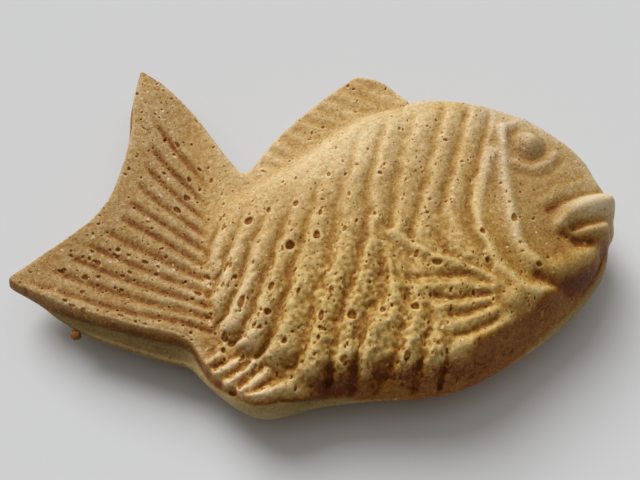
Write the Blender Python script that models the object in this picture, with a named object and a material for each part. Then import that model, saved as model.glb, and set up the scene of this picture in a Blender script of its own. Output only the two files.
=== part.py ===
"""A taiyaki: a fish-shaped cake, baked between the two halves of an iron mould.

The cake is one solid that lies on its side. +X points from the tail to the mouth, +Y to the
dorsal fin and +Z up. The origin is below the middle of the cake, on the surface it lies on.
Both faces carry the fish's relief, and between them runs the rim, where the batter of the
two halves met. All lengths below are in millimetres, and the finished mesh is in metres.
"""

import bpy
import numpy as np
from mathutils import Vector
from mathutils.geometry import delaunay_2d_cdt

MM = 0.001

# Heights
SEAM = 13.0          # height of the rim's top, where the two halves meet
RIM_DROP = 1.2       # how far the rim's edge lies below its top
RIM_ROUND = 1.6      # how far in from its edge the rim is rounded
BODY_RISE = 14.3     # the upper half's body above the seam
ROOT_RISE = 9.3      # the same at the root of the tail
SHOULDER = 5.4       # how much of that is crown, above the steep side
CROWN_REACH = 7.5    # how far in the crown keeps rising
FIN_RISE = 4.6       # fins and tail above the seam
TIP_THINNING = 0.5   # how much of that is missing at the tips of the tail
BODY_DEPTH = 11.4    # the lower half's body below the rim's edge
ROOT_DEPTH = 7.8
FIN_DEPTH = 4.6
PUFF_RISE = 2.6      # batter pushed out under the anal fin, above the seam
PUFF_CENTRE = (-20.0, -42.0)
PUFF_REACH = 15.0
RIM_SLANT = 1.8      # how far the rim falls from the wall to its edge where it is wide
SAG = 0.2            # gentle unevenness of the upper face

# How steeply the sides climb, height over width
BODY_SLOPE = 3.4
BELLY_SLOPE = 2.3    # where the ribs run down the belly
LIP_SLOPE = 4.6      # in front of the lips
JOIN_SLOPE = 1.4     # where the body climbs out of a fin
ROOT_SLOPE = 0.75    # where it climbs out of the tail
FIN_SLOPE = 5.0
WIDE_RIM = (1.6, 2.8)  # widths between which the rim turns from level to sloping
JOIN_GAP = (0.5, 3.0)  # distance between the body's edge and the outer edge where a fin joins

# How softly one surface runs into the next
EDGE_BLEND = 1.0     # the body's side into its crown
HEAD_BLEND = 2.0     # the same on the head
LIP_BLEND = 3.2      # the same on the lips
FIN_BLEND = 0.6      # a fin's edge into its face
JOIN_BLEND = 0.7     # a fin's face into the body
JOIN_SUNK = 0.8      # how far below a fin's face the body's side starts

# Ribs
RIB_PITCH = 6.1
RIB_START = 4.6      # where one rib crosses the middle line
RIB_LEAN = 0.43      # how far a rib leans forward for each millimetre up
RIB_FAN = 0.09       # how much more the ribs next to the tail lean
GILL_BEND = 0.45     # how far the ribs next to the gill swing forward for each millimetre down
RIB_HEIGHT = 0.62    # half of what lies between a crest and a groove, near the back
RIB_HEIGHT_LOW = 0.85   # the same near the belly
RIB_SWELL = 0.9      # how far the ribs' ends push the body's side outwards
MIDDLE_Y = -5.0
BACK_FROM_Y = 10.0   # the body's edge is its back from here up
BACK_FADE = (6.0, 15.0)  # distance from the back over which the ribs come up
RIB_BREADTH = 0.8    # below 1 the crests are broad
RIB_SKEW = 0.4       # above 0 the side of a rib towards the tail is the steeper one
GROOVE_BREADTH = 1.3   # above 1 the grooves are narrow

# Tail
TAIL_PIVOT = (10.6, -38.3)
TAIL_FIRST = 122.6   # direction of the first groove from the pivot, in degrees
TAIL_STEP = 3.45
TAIL_GROOVES = 11
TAIL_DEPTH = 0.66
TAIL_WIDTH = 0.95
TAIL_MARGIN = 5.6    # smooth margin between the grooves and the tail's edge
TAIL_MARGIN_TOP = 6.8  # the same in the upper lobe
TAIL_MARGIN_LOW = 2.4  # the same along the lower edge
TAIL_ROOT_X = -26.6

# Dorsal fin
RAY_PITCH = 4.4
RAY_ANGLE = -36.0
RAY_HEIGHT = 0.2

DOME_POWER = 1.6     # above 1 a dome's foot runs out softly

# Flat spot that the cake rests on
PAD_CENTRE = (12.0, -5.0)
PAD_RADII = (15.0, 10.0)
PAD_DROP = 2.0

# Mesh
RIM_POINTS = 480
UPPER_SPACING = 1.0
UPPER_FINE = 0.6
LOWER_SPACING = 1.0
LOWER_FINE = 0.7
STEEP_WIDTH = 3.5    # how far in from an edge the points lie closer together
TRIANGLES = 9500

# The upper half's edge, counter-clockwise from the upper tip of the tail. The third
# number is how far the rim stands out there.
OUTLINE = [
    ("fork of the tail", [
        (-41.8, 58.4, 0.4), (-44.3, 47.0, 0.7), (-45.3, 37.0, 0.7), (-47.6, 27.5, 0.6),
        (-51.6, 17.4, 0.5), (-57.2, 11.0, 0.4), (-66.0, 5.4, 0.3), (-75.6, 0.2, 0.3)]),
    ("lower edge of the tail", [
        (-76.8, -1.0, 0.2), (-75.2, -2.6, 0.2), (-69.1, -7.2, 0.3), (-64.4, -10.6, 1.2),
        (-60.0, -13.0, 2.2), (-55.0, -15.4, 2.9), (-45.7, -19.6, 3.5), (-37.4, -22.8, 4.1),
        (-33.8, -25.0, 3.5)]),
    ("anal fin", [
        (-32.2, -28.2, 2.0), (-30.0, -32.6, 1.0), (-25.8, -37.2, 1.0), (-20.8, -40.6, 1.5),
        (-15.5, -41.0, 1.9), (-5.0, -40.6, 1.5), (6.0, -41.6, 0.6)]),
    ("belly", [
        (17.0, -43.1, 0.3), (26.6, -42.4, 0.3), (36.7, -39.1, 0.4), (47.8, -33.4, 0.9),
        (58.1, -26.8, 1.2), (65.2, -20.6, 1.0), (68.0, -16.8, 1.0), (69.5, -14.4, 0.8)]),
    ("lower lip", [(70.6, -12.4, 0.5), (71.4, -10.8, 0.4), (72.8, -9.2, 0.4), (73.8, -7.4, 0.4)]),
    ("upper lip", [(74.2, -5.4, 0.4), (74.7, -3.0, 0.4), (72.9, -0.5, 0.4)]),
    ("back", [
        (71.5, 3.4, 0.4), (70.2, 10.0, 0.4), (66.7, 16.0, 0.4), (58.6, 24.4, 0.4),
        (49.3, 30.3, 0.4), (39.2, 33.8, 0.4), (30.4, 35.4, 0.4)]),
    ("dorsal fin", [
        (27.2, 40.0, 0.4), (23.8, 44.0, 0.4), (18.4, 46.4, 0.4), (15.2, 46.2, 0.4),
        (4.8, 39.6, 0.4), (-7.0, 30.3, 0.4), (-15.9, 20.4, 0.4)]),
    ("upper edge of the tail", [
        (-17.2, 21.2, 0.4), (-21.1, 28.4, 0.4), (-25.5, 37.3, 0.4), (-30.2, 45.3, 0.4),
        (-35.2, 52.5, 0.4), (-40.6, 58.4, 0.4)]),
]

# The thick body without its fins, counter-clockwise from the root of the tail
BODY = [
    (-31.6, -8.0), (-30.6, -20.0), (-25.6, -28.6), (-14.0, -36.2), (-3.0, -40.0), (6.0, -41.6),
    (17.0, -43.1), (26.6, -42.4), (36.7, -39.1), (47.8, -33.4), (58.1, -26.8), (65.2, -20.6),
    (69.5, -14.4), (71.4, -10.8), (73.3, -7.4), (74.1, -3.0), (71.9, 2.2), (70.1, 10.0),
    (66.7, 16.0), (58.6, 24.4), (49.3, 30.3), (39.2, 33.8), (29.0, 34.8), (17.0, 33.2),
    (6.4, 28.6), (-4.6, 21.3), (-15.6, 15.6), (-23.5, 11.5), (-29.6, 3.6)]

# The pectoral fin, which the ribs stop at
PECTORAL = [
    (13.0, -5.4), (26.0, -14.0), (40.0, -22.0), (43.0, -27.0), (40.0, -33.4), (25.0, -40.6),
    (22.5, -33.0), (20.8, -25.0), (15.6, -20.0)]

# Single ridges and grooves: height, half width, then points along the middle
STROKES = {
    "gill cover": (1.0, 1.7, [(48.6, 18.6), (47.2, 12.0), (45.8, 5.0), (45.0, -2.0), (44.5, -10.3),
                              (45.1, -15.6), (47.6, -19.0)]),
    "arc behind the gill": (0.95, 1.7, [(44.2, 11.0), (41.4, 6.0), (38.8, 0.6), (37.0, -4.8), (36.4, -9.4),
                                       (37.2, -14.4), (39.4, -20.0), (43.2, -24.6), (48.0, -26.4),
                                       (53.0, -26.0)]),
    "groove behind the gill": (-0.35, 1.6, [(46.4, 14.0), (43.8, 6.0), (41.4, -4.0), (40.8, -12.0),
                                           (42.6, -19.0), (46.0, -23.2)]),
    "brow": (0.6, 1.3, [(47.6, 13.0), (48.3, 16.6), (51.0, 19.4), (55.4, 21.0)]),
    "groove under the brow": (-0.35, 0.9, [(49.6, 13.6), (50.4, 16.0), (52.6, 17.8)]),
    "lid": (0.5, 1.1, [(49.4, 7.6), (50.7, 6.2), (53.6, 5.4), (57.2, 6.6), (60.0, 9.2)]),
    "groove under the lid": (-0.25, 1.0, [(49.6, 4.6), (53.4, 3.0), (57.4, 3.8), (61.0, 6.8)]),
    "ridge over the lip": (0.4, 1.4, [(67.5, 1.2), (62.0, -0.4), (57.0, -1.8), (53.0, -4.2)]),
    "crease over the lip": (-0.6, 0.9, [(75.0, -0.4), (69.0, -1.9), (64.2, -2.9), (58.6, -4.3),
                                        (54.0, -6.6)]),
    "upper lip": (1.6, 2.0, [(74.6, -4.4), (69.3, -5.1), (64.8, -5.6), (61.0, -6.7), (57.8, -8.4),
                             (55.2, -10.8)]),
    "mouth": (-1.0, 1.1, [(76.0, -8.6), (69.0, -9.0), (63.8, -10.2), (60.8, -10.9), (58.6, -11.6)]),
    "lower lip": (0.8, 1.2, [(76.0, -11.4), (70.0, -11.6), (66.0, -12.0), (63.0, -12.4)]),
    "crease under the lip": (-1.2, 1.8, [(76.0, -13.9), (70.0, -14.3), (66.0, -14.8), (62.4, -15.0),
                                         (59.0, -14.8)]),
    "end of the crease": (-0.5, 1.3, [(62.4, -14.9), (59.6, -14.5), (57.4, -13.8), (55.8, -12.9)]),
    "hollow under the jaw": (-1.5, 1.7, [(48.0, -22.0), (52.6, -24.2), (58.2, -23.6), (63.0, -20.6),
                                         (67.0, -17.0)]),
    "leading ray": (0.8, 1.2, [(15.8, -7.6), (20.0, -11.2), (25.5, -15.8), (30.0, -17.8),
                               (34.0, -20.5), (38.5, -23.8)]),
    "groove 1": (-0.65, 0.9, [(18.0, -19.4), (24.0, -19.6), (31.6, -20.4), (35.8, -22.8)]),
    "ray 1": (0.6, 1.2, [(19.5, -22.3), (25.0, -22.6), (30.0, -22.9), (36.0, -24.3)]),
    "groove 2": (-0.65, 0.8, [(23.2, -24.3), (26.0, -25.4), (35.0, -25.6)]),
    "ray 2": (0.55, 1.0, [(23.0, -27.0), (28.0, -27.6), (35.0, -27.0)]),
    "groove 3": (-0.65, 0.8, [(25.6, -29.2), (29.0, -29.2), (34.6, -28.2)]),
    "ray 3": (0.6, 1.1, [(25.0, -31.6), (30.0, -31.2), (36.5, -29.4)]),
    "groove 4": (-0.7, 0.8, [(25.9, -33.8), (29.5, -33.6), (35.7, -31.4)]),
    "ray 4": (1.0, 1.5, [(23.6, -40.2), (25.4, -37.8), (29.6, -36.4), (34.0, -34.9), (38.4, -32.4)]),
    "anal ray 1": (1.0, 1.0, [(-31.2, -30.8), (-27.0, -28.9)]),
    "anal ray 2": (1.2, 1.0, [(-29.4, -33.4), (-26.0, -32.2), (-22.6, -30.8)]),
    "anal ray 3": (1.3, 1.0, [(-26.6, -36.4), (-23.0, -34.4), (-19.4, -32.2)]),
    "anal ray 4": (1.3, 1.0, [(-23.2, -38.2), (-20.0, -36.4), (-16.6, -34.4)]),
    "anal groove 1": (-0.3, 0.8, [(-30.6, -32.2), (-26.4, -30.4), (-23.4, -29.0)]),
    "anal groove 2": (-0.3, 0.8, [(-28.4, -35.0), (-24.8, -33.4), (-20.6, -31.2)]),
    "anal groove 3": (-0.3, 0.8, [(-25.0, -37.6), (-21.4, -35.6), (-17.6, -33.0)]),
    "anal groove 4": (-0.3, 0.8, [(-22.2, -39.0), (-17.6, -37.0), (-13.4, -35.4)]),
    "anal ray 5": (1.7, 1.4, [(-21.6, -39.9), (-15.5, -38.7), (-9.0, -37.2), (-5.6, -36.8)]),
    "foot of the tail": (0.5, 1.3, [(-66.0, -7.0), (-52.0, -14.2), (-35.0, -21.2)]),
}

# Round bumps: height, centre, radii, turn in degrees
DOMES = {
    "eye": (3.2, (54.0, 12.4), (4.1, 4.8), 0.0),
    "front of the upper lip": (0.6, (69.5, -5.6), (5.5, 3.4), 10.0),
    "jaw": (1.0, (56.6, -20.0), (9.4, 3.8), 12.0),
    "root of the pectoral fin": (1.3, (40.4, -26.8), (3.4, 3.2), 0.0),
}


def smooth_step(low, high, value):
    """0 below low, 1 above high and a smooth climb between."""
    t = np.clip((value - low) / (high - low), 0.0, 1.0)
    return t * t * (3.0 - 2.0 * t)


def soft_min(a, b, blend):
    return -blend * np.logaddexp(-a / blend, -b / blend)


def soft_max(a, b, blend):
    return blend * np.logaddexp(a / blend, b / blend)


def smooth_line(points, closed=False, steps=16):
    """Points along a Catmull-Rom curve, with as many columns as the given points."""
    given = np.array(points, dtype=float)
    if closed:
        ends = (given[-1:], given[:2])
    else:
        ends = (2.0 * given[:1] - given[1:2], 2.0 * given[-1:] - given[-2:-1])
    line = np.vstack((ends[0], given, ends[1]))
    t = np.linspace(0.0, 1.0, steps, endpoint=False)[:, None]
    spans = []
    for a, b, c, d in zip(line, line[1:], line[2:], line[3:]):
        bend = (2.0 * a - 5.0 * b + 4.0 * c - d) * t ** 2
        spans.append(0.5 * (2.0 * b + (c - a) * t + bend + (3.0 * b - a - 3.0 * c + d) * t ** 3))
    if not closed:
        spans.append(given[-1:])
    return np.vstack(spans)


def even_ring(ring, count):
    """The closed ring with its points spread evenly, corners slightly rounded."""
    loop = np.vstack((ring, ring[:1]))
    along = np.concatenate(([0.0], np.cumsum(np.linalg.norm(np.diff(loop[:, :2], axis=0), axis=1))))
    wanted = np.arange(count) * along[-1] / count
    even = np.column_stack([np.interp(wanted, along, column) for column in loop.T])
    return sum(weight * np.roll(even, shift, axis=0)
               for shift, weight in ((-2, 0.1), (-1, 0.2), (0, 0.4), (1, 0.2), (2, 0.1)))


def edge_rings(count=640):
    """The upper half's edge and the rim's edge around it."""
    stretches = [smooth_line(points) for _, points in OUTLINE]
    ring = even_ring(np.vstack(stretches), count)
    edge, width = ring[:, :2], ring[:, 2:]
    along = np.roll(edge, -2, axis=0) - np.roll(edge, 2, axis=0)
    outward = np.column_stack((along[:, 1], -along[:, 0])) / np.linalg.norm(along, axis=1)[:, None]
    return edge, even_ring(edge + outward * width, count)


def distance_to_line(x, y, line, closed=False):
    """How far each point lies from the line."""
    starts = line if closed else line[:-1]
    ends = np.roll(line, -1, axis=0) if closed else line[1:]
    spans = ends - starts
    lengths = np.maximum((spans ** 2).sum(axis=1), 1e-12)
    nearest = np.full(len(x), np.inf)
    for start, span, length in zip(starts, spans, lengths):
        t = np.clip(((x - start[0]) * span[0] + (y - start[1]) * span[1]) / length, 0.0, 1.0)
        away = (x - start[0] - t * span[0]) ** 2 + (y - start[1] - t * span[1]) ** 2
        nearest = np.minimum(nearest, away)
    return np.sqrt(nearest)


def inset(x, y, ring):
    """How far inside the closed ring each point lies, negative outside."""
    crossings = np.zeros(len(x), dtype=int)
    for (ax, ay), (bx, by) in zip(ring, np.roll(ring, -1, axis=0)):
        if ay != by:
            spans = (ay > y) != (by > y)
            crossings += spans & (x < ax + (y - ay) * (bx - ax) / (by - ay))
    away = distance_to_line(x, y, ring, closed=True)
    return np.where(crossings % 2 == 1, away, -away)


def unevenness(x, y, length, seed):
    """Smooth irregular waves about length long, roughly between -1 and 1."""
    random = np.random.RandomState(seed)
    total = np.zeros(len(x))
    for _ in range(9):
        direction = random.uniform(0.0, 2.0 * np.pi)
        wave = 2.0 * np.pi / (length * random.uniform(0.7, 1.5))
        phase = random.uniform(0.0, 2.0 * np.pi)
        total += np.sin(wave * (x * np.cos(direction) + y * np.sin(direction)) + phase)
    return total / 4.5


class Plan:
    """The points of one face in plan, with what the relief needs to know about each."""

    def __init__(self, x, y):
        upper, rim = edge_rings()
        self.x = x
        self.y = y
        self.from_rim = inset(x, y, rim)
        self.from_upper = inset(x, y, upper)
        self.from_body = inset(x, y, smooth_line(BODY, closed=True))


def between(value, low_end, high_start, blend):
    """1 where value lies between the two limits, with a smooth climb of width blend on each side."""
    return smooth_step(low_end - blend, low_end, value) * smooth_step(high_start + blend, high_start, value)


def below_back(plan):
    """0 on the smooth shoulder under the body's upper edge, 1 down on the flank."""
    back = smooth_line(BODY, closed=True)
    back = back[back[:, 1] > BACK_FROM_Y]
    away = distance_to_line(plan.x, plan.y, back)
    # the ribs come up nearer to the back at the nape and next to the tail, and later in between
    away += 3.5 * smooth_step(28.0, 40.0, plan.x) + 4.0 * smooth_step(-12.0, -22.0, plan.x)
    away -= 3.0 * smooth_step(12.0, 2.0, plan.x) * smooth_step(-18.0, -10.0, plan.x)
    return smooth_step(*BACK_FADE, away) * (plan.from_body > -1.0)


def rib_drift(plan, place):
    """How far forward of an even pitch the ribs stand, in millimetres."""
    below = smooth_step(8.0, -6.0, plan.y)       # the lower half of the flank
    rear = smooth_step(-4.5, 9.5, place)         # from the rear ribs to the middle ones
    front = smooth_step(10.0, 23.0, place)       # from there to the ones behind the gill
    upper_flank = 2.5 * front - 1.1
    lower_flank = 2.9 * rear - 0.9 - 0.8 * front * smooth_step(-16.0, -8.0, plan.y)
    return upper_flank + (lower_flank - upper_flank) * below


def rib_places(plan):
    """Where each point lies across the ribs, in millimetres along the middle line."""
    x, y = plan.x, plan.y
    level = y - MIDDLE_Y
    place = x - RIB_LEAN * level
    place -= RIB_FAN * level * smooth_step(2.0, -18.0, place)
    # the rear ribs hook backwards where they meet the anal fin
    place += 1.8 * smooth_step(7.0, 1.5, plan.from_body) * smooth_step(-4.0, -12.0, x) * (y < MIDDLE_Y)
    # the ribs below the pectoral fin stand further forward
    place -= 3.0 * smooth_step(-13.0, -27.0, y) * smooth_step(7.0, 13.0, x)
    # and the ones behind the gill swing forward with it
    swing = np.clip(-2.0 - y, 0.0, 16.0) * smooth_step(22.0, 40.0, place) * smooth_step(-27.0, -19.0, y)
    place += 0.35 * unevenness(x, y, 26.0, seed=3)
    return place - GILL_BEND * swing - rib_drift(plan, place)


def rib_ends(plan, place):
    """1 on the ribs' part of the flank, 0 on the head, the tail and the pectoral fin."""
    x, body = plan.x, plan.from_body
    lower = plan.y < MIDDLE_Y
    # they run on a little over the belly's edge in front, and stop short of the anal fin
    knobs = 0.7 * smooth_step(-6.0, 4.0, x) * lower
    knobs -= 1.0 * smooth_step(-6.0, -12.0, x) * lower
    shown = smooth_step(0.3, 2.2, body + knobs)
    shown *= smooth_step(35.0, 32.6, place) * smooth_step(-31.0, -24.0, x)
    shown *= 1.0 - smooth_step(24.0, 30.0, x) * smooth_step(4.0, 2.0, body)
    fin = inset(x, plan.y, np.array(PECTORAL))
    return shown * (1.0 - 0.8 * smooth_step(-1.4, 0.6, fin)) * below_back(plan)


def rib_waves(plan):
    """About 1 along the crest of each rib and -1 in each groove, fading to 0 off the flank."""
    place = rib_places(plan)
    phase = 2.0 * np.pi * (place - RIB_START) / RIB_PITCH
    wave = np.cos(phase + RIB_SKEW * (np.cos(phase) - 1.0))
    wave = np.maximum(wave, 0.0) ** RIB_BREADTH - np.maximum(-wave, 0.0) ** GROOVE_BREADTH
    wave *= 1.0 + 0.2 * unevenness(plan.x, plan.y, 13.0, seed=12)
    # shallower on the rear of the back and along the belly, deeper above the anal fin
    weak = 0.5 * smooth_step(-4.0, 4.0, plan.y) * smooth_step(9.0, 3.0, place)
    weak += 0.15 * smooth_step(-22.0, -30.0, plan.y) * smooth_step(-14.0, -4.0, plan.x)
    weak -= 0.25 * smooth_step(-12.0, -20.0, plan.y) * smooth_step(-4.0, -12.0, plan.x)
    return wave * rib_ends(plan, place) * (1.0 - weak)


def tail_grooves(plan):
    """1 along the middle of each groove that fans out over the tail."""
    x = plan.x - TAIL_PIVOT[0]
    y = plan.y - TAIL_PIVOT[1]
    reach = np.hypot(x, y)
    turn = np.degrees(np.arctan2(y, x)) + 0.05 * (reach - 70.0) * smooth_step(70.0, 90.0, reach)
    turn += 0.25 * unevenness(plan.x, plan.y, 30.0, seed=5)
    number = (turn - TAIL_FIRST) / TAIL_STEP
    number -= 0.2 * smooth_step(2.5, 0.5, number)
    number -= 0.2 * smooth_step(5.0, 7.0, number) * smooth_step(48.0, 62.0, reach)
    nearest = np.clip(np.round(number), 0, TAIL_GROOVES - 1)
    aside = np.radians((number - nearest) * TAIL_STEP) * reach
    margin = TAIL_MARGIN + (TAIL_MARGIN_TOP - TAIL_MARGIN) * smooth_step(0.0, 20.0, plan.y)
    margin += (TAIL_MARGIN_LOW - TAIL_MARGIN) * smooth_step(TAIL_GROOVES - 2.0, TAIL_GROOVES - 1.4, number)
    ends = smooth_step(-1.3, 2.7, plan.from_upper - margin) * smooth_step(1.0, -3.5, plan.x - TAIL_ROOT_X)
    return np.exp(-(aside / TAIL_WIDTH) ** 2) * ends


def fin_rays(plan):
    """Shallow waves over the dorsal fin, across its outer edge."""
    angle = np.radians(RAY_ANGLE)
    across = plan.y * np.cos(angle) - plan.x * np.sin(angle)
    wave = np.cos(2.0 * np.pi * across / RAY_PITCH)
    on_fin = smooth_step(0.5, -1.5, plan.from_body) * smooth_step(-18.0, -12.0, plan.x)
    return wave * on_fin * smooth_step(1.0, 2.5, plan.from_upper) * (plan.y > 0.0)


def stroke(plan, half_width, points):
    """1 along the middle of a single ridge or groove, fading to its sides."""
    away = distance_to_line(plan.x, plan.y, smooth_line(points, steps=6))
    return np.exp(-(away / half_width) ** 2)


def dome(plan, centre, radii, turn):
    """1 at the top of a rounded bump and 0 around it."""
    angle = np.radians(turn)
    x = plan.x - centre[0]
    y = plan.y - centre[1]
    along = (x * np.cos(angle) + y * np.sin(angle)) / radii[0]
    across = (y * np.cos(angle) - x * np.sin(angle)) / radii[1]
    return np.clip(1.0 - along ** 2 - across ** 2, 0.0, 1.0) ** DOME_POWER


def relief(plan):
    """The fish's markings, as a height on the smooth body, fins and tail."""
    rib_height = RIB_HEIGHT + (RIB_HEIGHT_LOW - RIB_HEIGHT) * smooth_step(12.0, -22.0, plan.y)
    height = rib_height * rib_waves(plan) - TAIL_DEPTH * tail_grooves(plan)
    height += RAY_HEIGHT * fin_rays(plan)
    for rise, half_width, points in STROKES.values():
        height += rise * stroke(plan, half_width, points)
    for rise, centre, radii, turn in DOMES.values():
        height += rise * dome(plan, centre, radii, turn)
    return height * smooth_step(0.0, 0.9, plan.from_upper)


def side_slope(plan, joined):
    """How steeply the body's side climbs at each point; joined is 1 where it climbs out of a fin."""
    belly = between(plan.x, -2.0, 54.0, 8.0) * (plan.y < MIDDLE_Y)
    lips = smooth_step(60.0, 66.0, plan.x) * between(plan.y, -11.0, 5.0, 6.0)
    slope = BODY_SLOPE + (BELLY_SLOPE - BODY_SLOPE) * belly + (LIP_SLOPE - BODY_SLOPE) * lips
    join_slope = JOIN_SLOPE + (ROOT_SLOPE - JOIN_SLOPE) * smooth_step(-12.0, -27.0, plan.x)
    return slope + (join_slope - slope) * joined


def body_height(plan, from_body, rise, root_rise, fin_rise):
    """The smooth thick body above its own edge: a steep side, then a low crown."""
    joined = smooth_step(*JOIN_GAP, plan.from_upper - plan.from_body)
    top = root_rise + (rise - root_rise) * smooth_step(-34.0, 6.0, plan.x)
    crown = top - SHOULDER * np.exp(-np.maximum(from_body, 0.0) / CROWN_REACH)
    side = joined * (fin_rise - JOIN_SUNK) + side_slope(plan, joined) * from_body
    blend = EDGE_BLEND + (HEAD_BLEND - EDGE_BLEND) * smooth_step(20.0, 42.0, plan.x)
    return soft_min(side, crown, blend + (LIP_BLEND - HEAD_BLEND) * smooth_step(65.0, 70.0, plan.x))


def face_height(plan, from_edge, rise, root_rise, fin_rise):
    """Body and fins together above the edge that they rise from."""
    swollen = plan.from_body + RIB_SWELL * rib_waves(plan)
    body = body_height(plan, swollen, rise, root_rise, fin_rise)
    tips = smooth_step(-62.0, -77.0, plan.x) + smooth_step(44.0, 60.0, plan.y) * (plan.x < -20.0)
    fins = soft_min(FIN_SLOPE * from_edge, fin_rise * (1.0 - TIP_THINNING * tips), FIN_BLEND)
    # only where a fin is there beside the body
    present = smooth_step(0.2, 2.2, plan.from_upper - plan.from_body)
    return np.maximum(soft_max(body, fins * present, JOIN_BLEND), 0.0)


def rim_height(plan, rounding):
    """The rim's top: level where it is narrow, sloping down to its edge where it is wide."""
    width = np.maximum(plan.from_rim - plan.from_upper, 0.1)
    wide = smooth_step(*WIDE_RIM, width) * smooth_step(2.0, 0.0, plan.from_upper)
    share = plan.from_rim / width
    slope = RIM_SLANT * smooth_step(0.12, 0.9, share)
    level = RIM_DROP * rounding
    return SEAM - RIM_DROP + level + (slope - level) * wide


def upper_face(x, y):
    """Height of the upper face at each point in plan."""
    plan = Plan(x, y)
    inner = np.clip(plan.from_rim / RIM_ROUND, 0.0, 1.0)
    rounding = np.sqrt(1.0 - (1.0 - inner) ** 2)
    puff_away = np.hypot(x - PUFF_CENTRE[0], y - PUFF_CENTRE[1])
    puff = PUFF_RISE * smooth_step(PUFF_REACH, 0.3 * PUFF_REACH, puff_away) * rounding
    rise = face_height(plan, plan.from_upper, BODY_RISE, ROOT_RISE, FIN_RISE)
    height = rim_height(plan, rounding) + np.maximum(rise, puff) + relief(plan)
    return height + SAG * unevenness(x, y, 18.0, seed=8) * inner


def lower_face(x, y):
    """Height of the lower face at each point in plan, flat where the cake rests."""
    plan = Plan(x, y)
    depth = face_height(plan, plan.from_rim, BODY_DEPTH, ROOT_DEPTH, FIN_DEPTH) + relief(plan)
    pad = dome(plan, PAD_CENTRE, PAD_RADII, 0.0)
    depth += PAD_DROP * smooth_step(0.0, 0.25, pad)
    return np.maximum(SEAM - RIM_DROP - depth, 0.0)


def grid(low, high, spacing):
    """Staggered rows of points over a box."""
    rows = []
    for number, y in enumerate(np.arange(low[1], high[1], spacing * np.sqrt(0.75))):
        x = np.arange(low[0] + spacing * (number % 2) / 2.0, high[0], spacing)
        rows.append(np.column_stack((x, np.full(len(x), y))))
    return np.vstack(rows)


def plan_points(rim, coarse, fine):
    """Points inside the rim, closer together where the sides are steep."""
    chosen = []
    for spacing, steep_wanted in ((fine, True), (coarse, False)):
        points = grid(rim.min(axis=0), rim.max(axis=0), spacing)
        plan = Plan(*points.T)
        steep = plan.from_upper < STEEP_WIDTH
        steep |= (plan.from_body > -1.0) & (plan.from_body < STEEP_WIDTH) & (plan.x > -24.0)
        chosen.append(points[(plan.from_rim > 0.6 * fine) & (steep == steep_wanted)])
    return np.vstack(chosen)


def face_sheet(rim, face, coarse, fine):
    """Points and triangles of one face, whose first points are the rim's."""
    points = np.vstack((rim, plan_points(rim, coarse, fine)))
    corners = len(rim)
    edges = [(number, (number + 1) % corners) for number in range(corners)]
    places = [Vector(point) for point in points.tolist()]
    flat, _, triangles, *_ = delaunay_2d_cdt(places, edges, [], 1, 1e-6)
    x, y = np.array([tuple(point) for point in flat]).T
    height = face(x, y)
    height[:corners] = SEAM - RIM_DROP
    return np.column_stack((x, y, height)), np.array(triangles)


def cake_mesh():
    """Both faces joined along the rim, in metres."""
    _, rim = edge_rings(RIM_POINTS)
    upper_points, upper_triangles = face_sheet(rim, upper_face, UPPER_SPACING, UPPER_FINE)
    lower_points, lower_triangles = face_sheet(rim, lower_face, LOWER_SPACING, LOWER_FINE)
    corners = len(rim)
    moved = lower_triangles + len(upper_points) - corners
    lower_triangles = np.where(lower_triangles < corners, lower_triangles, moved)
    points = np.vstack((upper_points, lower_points[corners:]))
    mesh = bpy.data.meshes.new("taiyaki")
    faces = np.vstack((upper_triangles, lower_triangles[:, ::-1]))
    mesh.from_pydata((points * MM).tolist(), [], faces.tolist())
    mesh.validate()
    return mesh


def crust():
    """Baked batter: matt and golden brown."""
    material = bpy.data.materials.new("crust")
    material.use_nodes = True
    shader = material.node_tree.nodes["Principled BSDF"]
    shader.inputs["Base Color"].default_value = (0.48, 0.27, 0.12, 1.0)
    shader.inputs["Roughness"].default_value = 0.7
    shader.inputs["Metallic"].default_value = 0.0
    return material


def thin_out(cake):
    """Fewer triangles where the surface is flat."""
    thinner = cake.modifiers.new("thin out", "DECIMATE")
    thinner.ratio = TRIANGLES / len(cake.data.polygons)
    thinner.use_collapse_triangulate = True
    graph = bpy.context.evaluated_depsgraph_get()
    mesh = bpy.data.meshes.new_from_object(cake.evaluated_get(graph))
    cake.modifiers.clear()
    cake.data = mesh


def settle(mesh):
    """The cake centred over the origin, with nothing below the surface it lies on."""
    points = np.array([tuple(vertex.co) for vertex in mesh.vertices])
    middle = (points.min(axis=0) + points.max(axis=0)) / 2.0
    points -= (middle[0], middle[1], 0.0)
    points[:, 2] = np.maximum(points[:, 2], 0.0)
    mesh.vertices.foreach_set("co", points.ravel())
    mesh.update()


def main():
    for old in list(bpy.data.objects):
        bpy.data.objects.remove(old, do_unlink=True)
    mesh = cake_mesh()
    mesh.materials.append(crust())
    cake = bpy.data.objects.new("taiyaki", mesh)
    bpy.context.scene.collection.objects.link(cake)
    thin_out(cake)
    settle(cake.data)
    cake.data.shade_smooth()


main()
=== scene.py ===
"""The looks of the taiyaki: one piece of baked batter, `cake`, which replaces the CAD node, and a crumb.

The cake has the CAD solid's shape, from the same sizes and functions, on a much finer mesh. Added
to it is what baking leaves: folds and a bead in the rim, a lumpy crust and the open pits of burst
bubbles. The mesh carries attributes that tell the material where the crust is pitted, hollow or
steep, where it is baked browner or paler, and where shade, a highlight or a sheen is painted on
it. Plan coordinates are millimetres in the fish's own frame, with +X to the mouth and +Y to the
dorsal fin, and the finished mesh is moved onto the CAD node.
"""

import math

import bmesh
import bpy
import numpy as np
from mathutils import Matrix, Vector, noise
from mathutils.geometry import delaunay_2d_cdt


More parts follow.
